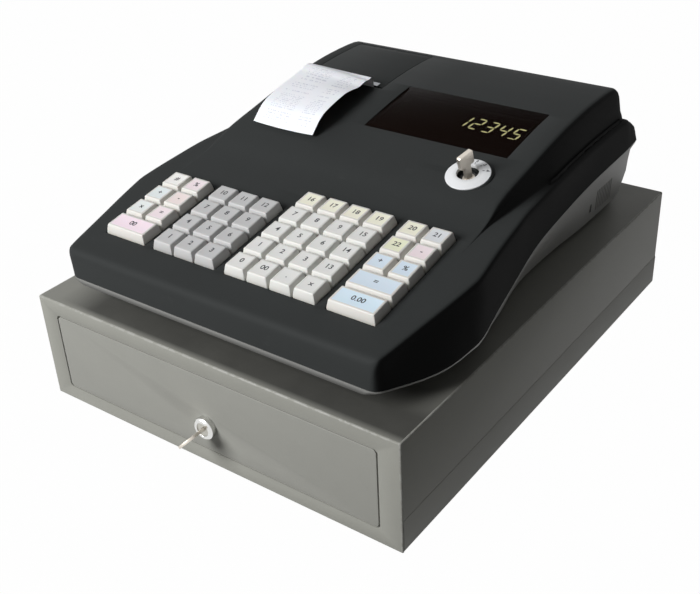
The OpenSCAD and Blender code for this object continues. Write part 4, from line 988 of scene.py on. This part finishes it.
class REGISTER_OT_locks(bpy.types.Operator):
    """Drawer lock and mode lock with their plugs, keys and printed ring"""

    bl_idname = "register.locks"
    bl_label = "Locks"

    def execute(self, context):
        dressed("drawer_lock", 0.0003, 3, 35, smooth=24)
        dressed("lock_plug", 0.0002, 2, 60)
        dressed("drawer_key", 0.0003, 2, 50)
        dressed("mode_plate", 0.0003, 2, 35, smooth=20)
        dressed("mode_lock", 0.0003, 2, 60)
        dressed("mode_key", 0.0004, 2, 50)
        self.add_marks()
        return {"FINISHED"}

    def add_marks(self):
        """Position marks and figures round the ring, on its sloping face."""
        bm = bmesh.new()
        broad, edge = RING_OUT - RING_IN, 0.001
        middle = (RING_OUT + RING_IN) / 2 + 0.0008
        tilt = Matrix.Rotation(-atan2(RING_H, broad), 4, "X")
        for count in range(5):
            turn = on_mode() @ Matrix.Rotation(radians(60 - 30 * count), 4, "Z")
            height = edge + RING_H * (RING_OUT - middle) / broad
            place = turn @ Matrix.Translation((0, middle, height)) @ tilt
            lettering(bm, str(count), 0.0026, place @ Matrix.Translation((0, 0, 0.00006)), 0)
            tick = turn @ Matrix.Translation((0, RING_IN + 0.0014, edge + RING_H * 0.79)) @ tilt
            rounded_block(bm, (0.0005, 0.0014, 0.0001), (0, 0, 0.00004), tick)
        bmesh.ops.recalc_face_normals(bm, faces=bm.faces)
        settle(bm, "ring_marks", "case", "ring_white", ["ink"])


class REGISTER_OT_housing(bpy.types.Operator):
    """Upper cover with its openings, lower cover, lid, screws and cord inlet"""

    bl_idname = "register.housing"
    bl_label = "Housing"

    def execute(self, context):
        self.add_cover(context.scene.housing)
        self.add_boss()
        self.add_bearings()
        dressed("base_pan", smooth=38)
        dressed("printer_cover", 0.0003, 2, 50)
        dressed("cord_gland", 0.0004, 2, 50)
        dressed("case_screws", 0.0003, 2, 60)
        return {"FINISHED"}

    def add_cover(self, look):
        """The cover's skin, drawn to the source's outline, with its wall and openings."""
        stations = unit_stations()
        halves = [cover_half(u) for u in stations]
        sections = [h + [(-x, z) for x, z in reversed(h[:-1])] for h in halves]
        bm = lofted(sections, [NOSE_Y + u for u in stations])
        cap_end(bm, NOSE_Y * MM)
        cap_end(bm, (NOSE_Y + UNIT_L) * MM)
        bmesh.ops.remove_doubles(bm, verts=bm.verts, dist=1e-6)
        bmesh.ops.recalc_face_normals(bm, faces=bm.faces)
        crown = max(bm.faces, key=lambda f: f.calc_center_median().z)
        if crown.normal.z < 0:
            bmesh.ops.reverse_faces(bm, faces=bm.faces)
        piece = settle(bm, "cover_shell", "case", "cover_plastic", replaces=["top_cover"], angle=28)
        wall = piece.modifiers.new("wall", "SOLIDIFY")
        wall.thickness = look.wall
        wall.offset = -1
        builders = (self.cut_keyboard, self.cut_window, self.cut_lock, self.cut_seat, self.cut_lid)
        tools = [cutter(build) for build in builders]
        for tool in tools:
            opening = piece.modifiers.new("opening", "BOOLEAN")
            opening.operation = "DIFFERENCE"
            opening.solver = "EXACT"
            opening.object = tool
        rim = piece.modifiers.new("rim", "BEVEL")
        rim.width = look.rim
        rim.segments = 2
        rim.limit_method = "ANGLE"
        rim.angle_limit = radians(55)
        made_solid(piece)
        for tool in tools:
            bpy.data.objects.remove(tool)
        mark_sides(piece)

    def cut_keyboard(self, bm):
        """An opening for each block of keys, with rounded corners."""
        deck, gap = on_deck(), 0.0008
        upright = deck.to_3x3() @ Vector((0, 0, 1))

        def corner(edge):
            return abs((edge.verts[0].co - edge.verts[1].co).normalized().dot(upright)) > 0.99

        for first, last, rows in (("a1", "a2", 4), ("b1", "b3", 4), ("c1", "c1", 5), ("d1", "d2", 5)):
            low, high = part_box("key_" + first)[0].x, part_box("key_" + last)[1].x
            depth = rows * ROW_PITCH - KEY_GAP
            size = (high - low + 2 * gap, depth + 2 * gap, 0.02)
            rounded_block(bm, size, ((low + high) / 2, depth / 2, 0), deck, 0.0012, 4, corner)

    def cut_window(self, bm):
        play = 0.0003
        size = (WINDOW_HIGH.x - WINDOW_LOW.x + 2 * play, WINDOW_L * MM + 2 * play, 0.024)
        rounded_block(bm, size, (0, WINDOW_L / 2 * MM, 0), on_window())

    def cut_lock(self, bm):
        disc(bm, BARREL_R, 0.04, on_mode())

    def cut_seat(self, bm):
        disc(bm, RING_OUT + 0.0003, 0.008, on_mode() @ Matrix.Translation((0, 0, 0.004)))

    def cut_lid(self, bm):
        play, wide, middle_z = 0.0005, 0.0725, 0.176
        y0, y1 = (NOSE_Y + SLOT_U - SLOT_HALF) * MM, LID_HIGH.y + play
        rounded_block(bm, (wide + play, y1 - y0, 0.04), (LID_X, (y0 + y1) / 2, middle_z))

    def add_boss(self):
        """The raised ring of the cover under the mode lock's ring."""
        low, out, edge_out, edge_in = -0.005, 0.017, 0.0004, 0.0003
        profile = [(BARREL_R, low), (out, low), (out, -edge_out), (out - edge_out, 0),
                   (BARREL_R + edge_in, 0), (BARREL_R, -edge_in)]
        place = on_mode()
        bm = bmesh.new()
        verts = [bm.verts.new(place @ Vector((r, 0, z))) for r, z in profile]
        edges = [bm.edges.new(pair) for pair in zip(verts, verts[1:] + verts[:1])]
        bmesh.ops.spin(
            bm, geom=verts + edges, cent=place.translation, axis=place.to_3x3() @ Vector((0, 0, 1)),
            dvec=(0, 0, 0), angle=2 * pi, steps=64, use_merge=True, use_duplicate=False,
        )
        bmesh.ops.remove_doubles(bm, verts=bm.verts, dist=1e-6)
        bmesh.ops.recalc_face_normals(bm, faces=bm.faces)
        settle(bm, "lock_boss", "case", "cover_plastic")

    def add_bearings(self):
        """The two bearings that the printer's lid turns in."""
        bm = bmesh.new()
        for side in (-1, 1):
            at = (LID_X + side * 0.039, LID_HIGH.y - 0.0041, LID_HIGH.z - 0.0062)
            rounded_block(bm, (0.0048, 0.009, 0.006), at, radius=0.0005)
        settle(bm, "lid_bearings", "case", "cover_plastic")


class REGISTER_OT_keyboard(bpy.types.Operator):
    """Key caps with dished tops and printed figures"""

    bl_idname = "register.keyboard"
    bl_label = "Keyboard"

    # Each key node with its block, column, row, width in columns, and the figures on its caps
    KEYS = {
        "a1": (0, 0, 3, 1, "#"), "a2": (0, 1, 3, 1, "%"), "a3": (0, 0, 2, 1, "+"), "a4": (0, 1, 2, 1, "-"),
        "a5": (0, 0, 1, 1, "x"), "a6": (0, 1, 1, 1, "="), "a7": (0, 0, 0, 2, "00"),
        "b1": (1, 0, 0, 1, "1 4 7 10"), "b2": (1, 1, 0, 1, "2 5 8 11"), "b3": (1, 2, 0, 1, "3 6 9 12"),
        "c1": (2, 0, 0, 1, "0 00 . x"), "c2": (2, 0, 1, 1, "1 2 3 13"), "c3": (2, 0, 2, 1, "4 5 6 14"),
        "c4": (2, 0, 3, 1, "7 8 9 15"), "c5": (2, 0, 4, 1, "16 17 18 19"),
        "d1": (3, 0, 4, 1, "20"), "d2": (3, 1, 4, 1, "21"), "d3": (3, 0, 3, 1, "22"), "d4": (3, 1, 3, 1, "-"),
        "d5": (3, 0, 2, 1, "+"), "d6": (3, 1, 2, 1, "%"), "d7": (3, 0, 1, 2, "="), "d8": (3, 0, 0, 2, "0.00"),
    }
    BLOCKS = ("key_a1", "key_b1", "key_c1", "key_d1")

    def execute(self, context):
        for name, key in self.KEYS.items():
            self.add_keys("key_" + name, *key, context.scene.keyboard)
        return {"FINISHED"}

    def add_keys(self, node, block, column, row, columns, legends, look):
        """The caps of one key node, in a row to the right, or to the rear for the grey block."""
        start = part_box(self.BLOCKS[block])[0].x
        width, depth = columns * KEY_PITCH - KEY_GAP, ROW_PITCH - KEY_GAP
        bm = bmesh.new()
        for count, legend in enumerate(legends.split()):
            across, back = (column, row + count) if block == 1 else (column + count, row)
            place = on_deck() @ Matrix.Translation((start + across * KEY_PITCH, back * ROW_PITCH, 0))
            self.add_cap(bm, place, width, depth, columns, look)
            spot = place @ Matrix.Translation((width / 2, depth / 2 + 0.0012, KEY_TOP - look.dish * 0.8))
            lettering(bm, legend, look.legend, spot)
        crown = OTHER_CROWNS.get(node, SLOT[node]) + "_crown"
        settle(bm, node + "_caps", BODY[node], SLOT[node], [SLOT[node], "ink", crown], [node], 26)

    def add_cap(self, bm, place, width, depth, columns, look):
        """One cap: an upright skirt, four sloping sides, a dished top, and its stems."""
        part = bmesh.new()
        middle = (width / 2, depth / 2, (SKIRT_LOW + SKIRT_TOP) / 2)
        rounded_block(part, (width, depth, SKIRT_TOP - SKIRT_LOW), middle)
        top = max(part.faces, key=lambda f: f.calc_center_median().z)
        raised = bmesh.ops.extrude_face_region(part, geom=[top])
        for vert in [v for v in raised["geom"] if isinstance(v, bmesh.types.BMVert)]:
            vert.co.z = KEY_TOP
            vert.co.x += KEY_TAPER if vert.co.x < width / 2 else -KEY_TAPER
            vert.co.y += KEY_TAPER * 1.3 if vert.co.y < depth / 2 else -KEY_TAPER / 2
        bmesh.ops.delete(part, geom=[top], context="FACES_ONLY")

        def sloping(edge):
            low, high = sorted(v.co.z for v in edge.verts)
            return high > KEY_TOP - 1e-4 or (low < SKIRT_LOW + 1e-4 and high > SKIRT_TOP - 1e-4)

        bevelled(part, [e for e in part.edges if sloping(e)], look.edge, 3)
        crown = max(part.faces, key=lambda f: (round(f.calc_center_median().z, 6), f.calc_area()))
        for inset, share in ((0.0008, 0.2), (0.0017, 0.4), (0.0018, 0.26), (0.0016, 0.14)):
            sink = -look.dish * share
            bmesh.ops.inset_region(part, faces=[crown], thickness=inset, depth=sink, use_even_offset=True)
            crown.material_index = 2
        stem, stem_z = (0.006, 0.006, 0.0118), -0.0071
        for column in range(columns):
            rounded_block(part, stem, ((column + 0.5) * KEY_PITCH - KEY_GAP / 2, depth / 2, stem_z))
        bmesh.ops.transform(part, matrix=place, verts=part.verts)
        mesh = mesh_of(part, "cap")
        bm.from_mesh(mesh)
        bpy.data.meshes.remove(mesh)


class REGISTER_OT_display(bpy.types.Operator):
    """Display window with its mask, tube and lit figures"""

    bl_idname = "register.display"
    bl_label = "Display"

    # The bars of each figure, and each bar's place across and up, and whether it lies flat
    FIGURES = {"1": "bc", "2": "abged", "3": "abgcd", "4": "fgbc", "5": "afgcd", "6": "afgecd", "7": "abc",
               "8": "abcdefg", "9": "abcdfg", "0": "abcdef"}
    BARS = {"a": (0, 1, True), "g": (0, 0, True), "d": (0, -1, True), "f": (-1, 0.5, False),
            "b": (1, 0.5, False), "e": (-1, -0.5, False), "c": (1, -0.5, False)}

    def execute(self, context):
        dressed("display_window", 0.0002, 2, 50)
        self.add_mask()
        self.add_figures(context.scene.readout)
        return {"FINISHED"}

    def add_mask(self):
        """A black card under the window, and the tube's glass behind its opening."""
        wide = WINDOW_HIGH.x - WINDOW_LOW.x
        middle_y, card_z, thin = 0.043, -0.0034, 0.0008
        bm = bmesh.new()
        rounded_block(bm, (wide - 0.014, 0.029, 0.0071), (0, middle_y, -0.0089), on_window(), 0.0012, 3)
        settle(bm, "display_tube", "case", "circuit_board", ["tube"])
        bm = bmesh.new()
        for y0, y1 in ((0.0006, 0.0275), (0.0585, 0.063)):
            rounded_block(bm, (wide - 0.001, y1 - y0, thin), (0, (y0 + y1) / 2, card_z), on_window())
        for x in (0.002 - wide / 2, wide / 2 - 0.002):
            rounded_block(bm, (0.003, 0.0309, thin), (x, middle_y, card_z), on_window())
        settle(bm, "display_mask", "case", "board_dark", ["mask"])

    def add_figures(self, look):
        """The lit figures, slanted and a little turned on the tube."""
        bm = bmesh.new()
        middle, turn = Matrix.Translation((0.0248, 0.0395, -0.0052)), Matrix.Rotation(radians(-3.4), 4, "Z")
        shear = Matrix(((1, 0.12, 0, 0), (0, 1, 0, 0), (0, 0, 1, 0), (0, 0, 0, 1)))
        start = -(len(look.figures) - 1) / 2
        for count, figure in enumerate(look.figures):
            shift = Matrix.Translation(((start + count) * look.pitch, 0, 0))
            for name in self.FIGURES[figure]:
                self.add_bar(bm, on_window() @ middle @ turn @ shift @ shear, *self.BARS[name], look.height)
        bmesh.ops.recalc_face_normals(bm, faces=bm.faces)
        settle(bm, "display_figures", "case", "window_glass", ["glow"])

    def add_bar(self, bm, place, x, y, flat, high, wide=0.0064, thick=0.0017):
        """One bar of a figure with pointed ends, from a six-sided disc drawn out to its length."""
        reach = (wide if flat else high / 2) / 2 - thick * 0.75
        turn = Matrix.Rotation(0 if flat else pi / 2, 4, "Z")
        verts = disc(bm, thick / 2, 0.0001, segments=6)
        for vert in verts:
            vert.co.x += reach if vert.co.x > 1e-6 else -reach if vert.co.x < -1e-6 else 0
        at = place @ Matrix.Translation((x * wide / 2, y * high / 2, 0)) @ turn
        bmesh.ops.transform(bm, matrix=at, verts=verts)


class REGISTER_OT_printer(bpy.types.Operator):
    """Receipt strip, wound roll, platen and tear bar"""

    bl_idname = "register.printer"
    bl_label = "Printer"

    def execute(self, context):
        self.add_strip()
        for holder in frame["nodes"]["paper_roll"].material_slots:
            holder.material = FINISHES["roll_paper"]
        dressed("paper_roll", 0.0002, 1, 50, finish="roll_paper")
        dressed("platen_roller", 0.0002, 1, 50)
        self.add_tear_bar()
        return {"FINISHED"}

    def path(self):
        """The strip's middle line, as its solid follows it: off the roll and behind the platen up to the
        slot, and from there on outside."""
        slot_y, slot_z = NOSE_Y + SLOT_U, top_z(SLOT_U)
        platen_y, under = slot_y - 8.6, slot_z - 20.5
        roll_y, roll_z = slot_y + 42, CASE_TOP + 37.4
        feed = platen_y + 7.35
        inside = [(roll_y - 3.3, roll_z + 25.5), (platen_y + 17, under - 4.4),
                  (platen_y + 11.3, under - 3.8), (platen_y + 8.5, under - 2.5), (feed, under + 0.1),
                  (feed, slot_z - 2), (feed, slot_z + 1)]
        outside = [(-1.9, 5.5), (-4.6, 10), (-10.3, 12.3), (-16, 11.6), (-21.3, 10), (-34.3, 7.4), (-44, 5.8),
                   (-53.3, 3.9), (-60, 2.2), (-66.3, 0.2), (-72.3, -3.1), (-78.3, -8.1), (-82.3, -11.8)]
        return inside, [(slot_y + y, slot_z + z) for y, z in outside]

    def smooth_path(self, points, steps):
        """A smooth line through the points."""
        out = []
        for i in range(len(points) - 1):
            a, b = points[max(i - 1, 0)], points[i]
            c, d = points[i + 1], points[min(i + 2, len(points) - 1)]
            for k in range(steps):
                t = k / steps
                out.append(tuple(
                    0.5 * (2 * b[n] + (c[n] - a[n]) * t + (2 * a[n] - 5 * b[n] + 4 * c[n] - d[n]) * t * t
                           + (3 * b[n] - a[n] - 3 * c[n] + d[n]) * t**3) for n in (0, 1)))
        return out + [points[-1]]

    def add_strip(self):
        """The receipt: hollow towards its end, and lower at the right in its crest before the slot."""
        low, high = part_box("receipt_paper")
        inside, outside = self.path()
        steps, hang, hollow = 5, 4.4, 0.0009
        line = self.smooth_path(inside + outside, steps)
        slot = len(inside) * steps
        bm = bmesh.new()
        bm.loops.layers.uv.new("strip")
        along = len(line) - 1
        bmesh.ops.create_grid(bm, x_segments=8, y_segments=along, size=1, calc_uvs=True)
        middle, half = (low.x + high.x) / 2, (high.x - low.x) / 2
        for vert in bm.verts:
            i = round((vert.co.y + 1) / 2 * along)
            side = vert.co.x
            free = max(0, (i / along - 0.45) / 0.55)
            y, z = line[i]
            ahead = line[slot][0] - y if i > slot else 0
            lean = eased(min(ahead / 7, (38 - ahead) / 24)) * ((1 + side) / 2) ** 1.5
            z = (z - hang * lean) * MM - hollow * free * (1 - side * side)
            vert.co = (middle + side * half, y * MM, z)
        bmesh.ops.recalc_face_normals(bm, faces=bm.faces)
        piece = settle(bm, "receipt_strip", "case", "paper", replaces=["receipt_paper"], angle=60)
        sheet = piece.modifiers.new("sheet", "SOLIDIFY")
        sheet.thickness = 0.00012
        sheet.offset = 0
        made_solid(piece)

    def add_tear_bar(self):
        """Toothed steel strip along the lid's front edge."""
        u = SLOT_U + SLOT_HALF
        y, z = (NOSE_Y + u) * MM, top_z(u) * MM
        half, teeth, tooth = 0.0305, 40, 0.0007
        bm = bmesh.new()
        made = bmesh.ops.create_grid(bm, x_segments=2 * teeth, y_segments=1, size=1)
        for vert in made["verts"]:
            spot = (y + 0.004, z + 0.0008)
            if vert.co.y < 0:
                spot = (y - 0.0002 - tooth * (round((vert.co.x + 1) * teeth) % 2), z + 0.0001)
            vert.co = (LID_X + vert.co.x * half, *spot)
        bmesh.ops.solidify(bm, geom=bm.faces[:], thickness=0.0003)
        bmesh.ops.recalc_face_normals(bm, faces=bm.faces)
        settle(bm, "tear_bar", "lid", "clip_metal")


class REGISTER_PT_looks(bpy.types.Panel):
    """Lists the register's sizes, colours and steps"""

    bl_idname = "REGISTER_PT_looks"
    bl_label = "Register"
    bl_space_type = "VIEW_3D"
    bl_region_type = "UI"
    bl_category = "Register"

    def draw(self, context):
        for name, kind in LOOKS.items():
            box = self.layout.box()
            box.label(text=kind.__name__)
            for prop in kind.__annotations__:
                box.prop(getattr(context.scene, name), prop)
        for step in STEPS:
            self.layout.operator(step.bl_idname)


LOOKS = {"cabinet": CabinetLook, "housing": HousingLook, "keyboard": KeyboardLook, "readout": DisplayLook,
         "studio": StudioLook}
STEPS = [REGISTER_OT_stage, REGISTER_OT_finishes, REGISTER_OT_cabinet, REGISTER_OT_drawer_inside,
         REGISTER_OT_locks, REGISTER_OT_housing, REGISTER_OT_keyboard, REGISTER_OT_display,
         REGISTER_OT_printer]
CLASSES = [*LOOKS.values(), *STEPS, REGISTER_PT_looks]


def register():
    for kind in CLASSES:
        bpy.utils.register_class(kind)
    for name, kind in LOOKS.items():
        setattr(bpy.types.Scene, name, PointerProperty(type=kind))


def unregister():
    for name in LOOKS:
        delattr(bpy.types.Scene, name)
    for kind in reversed(CLASSES):
        bpy.utils.unregister_class(kind)


def main():
    register()
    for step in STEPS:
        group, name = step.bl_idname.split(".")
        getattr(getattr(bpy.ops, group), name)()


if __name__ == "__main__":
    main()
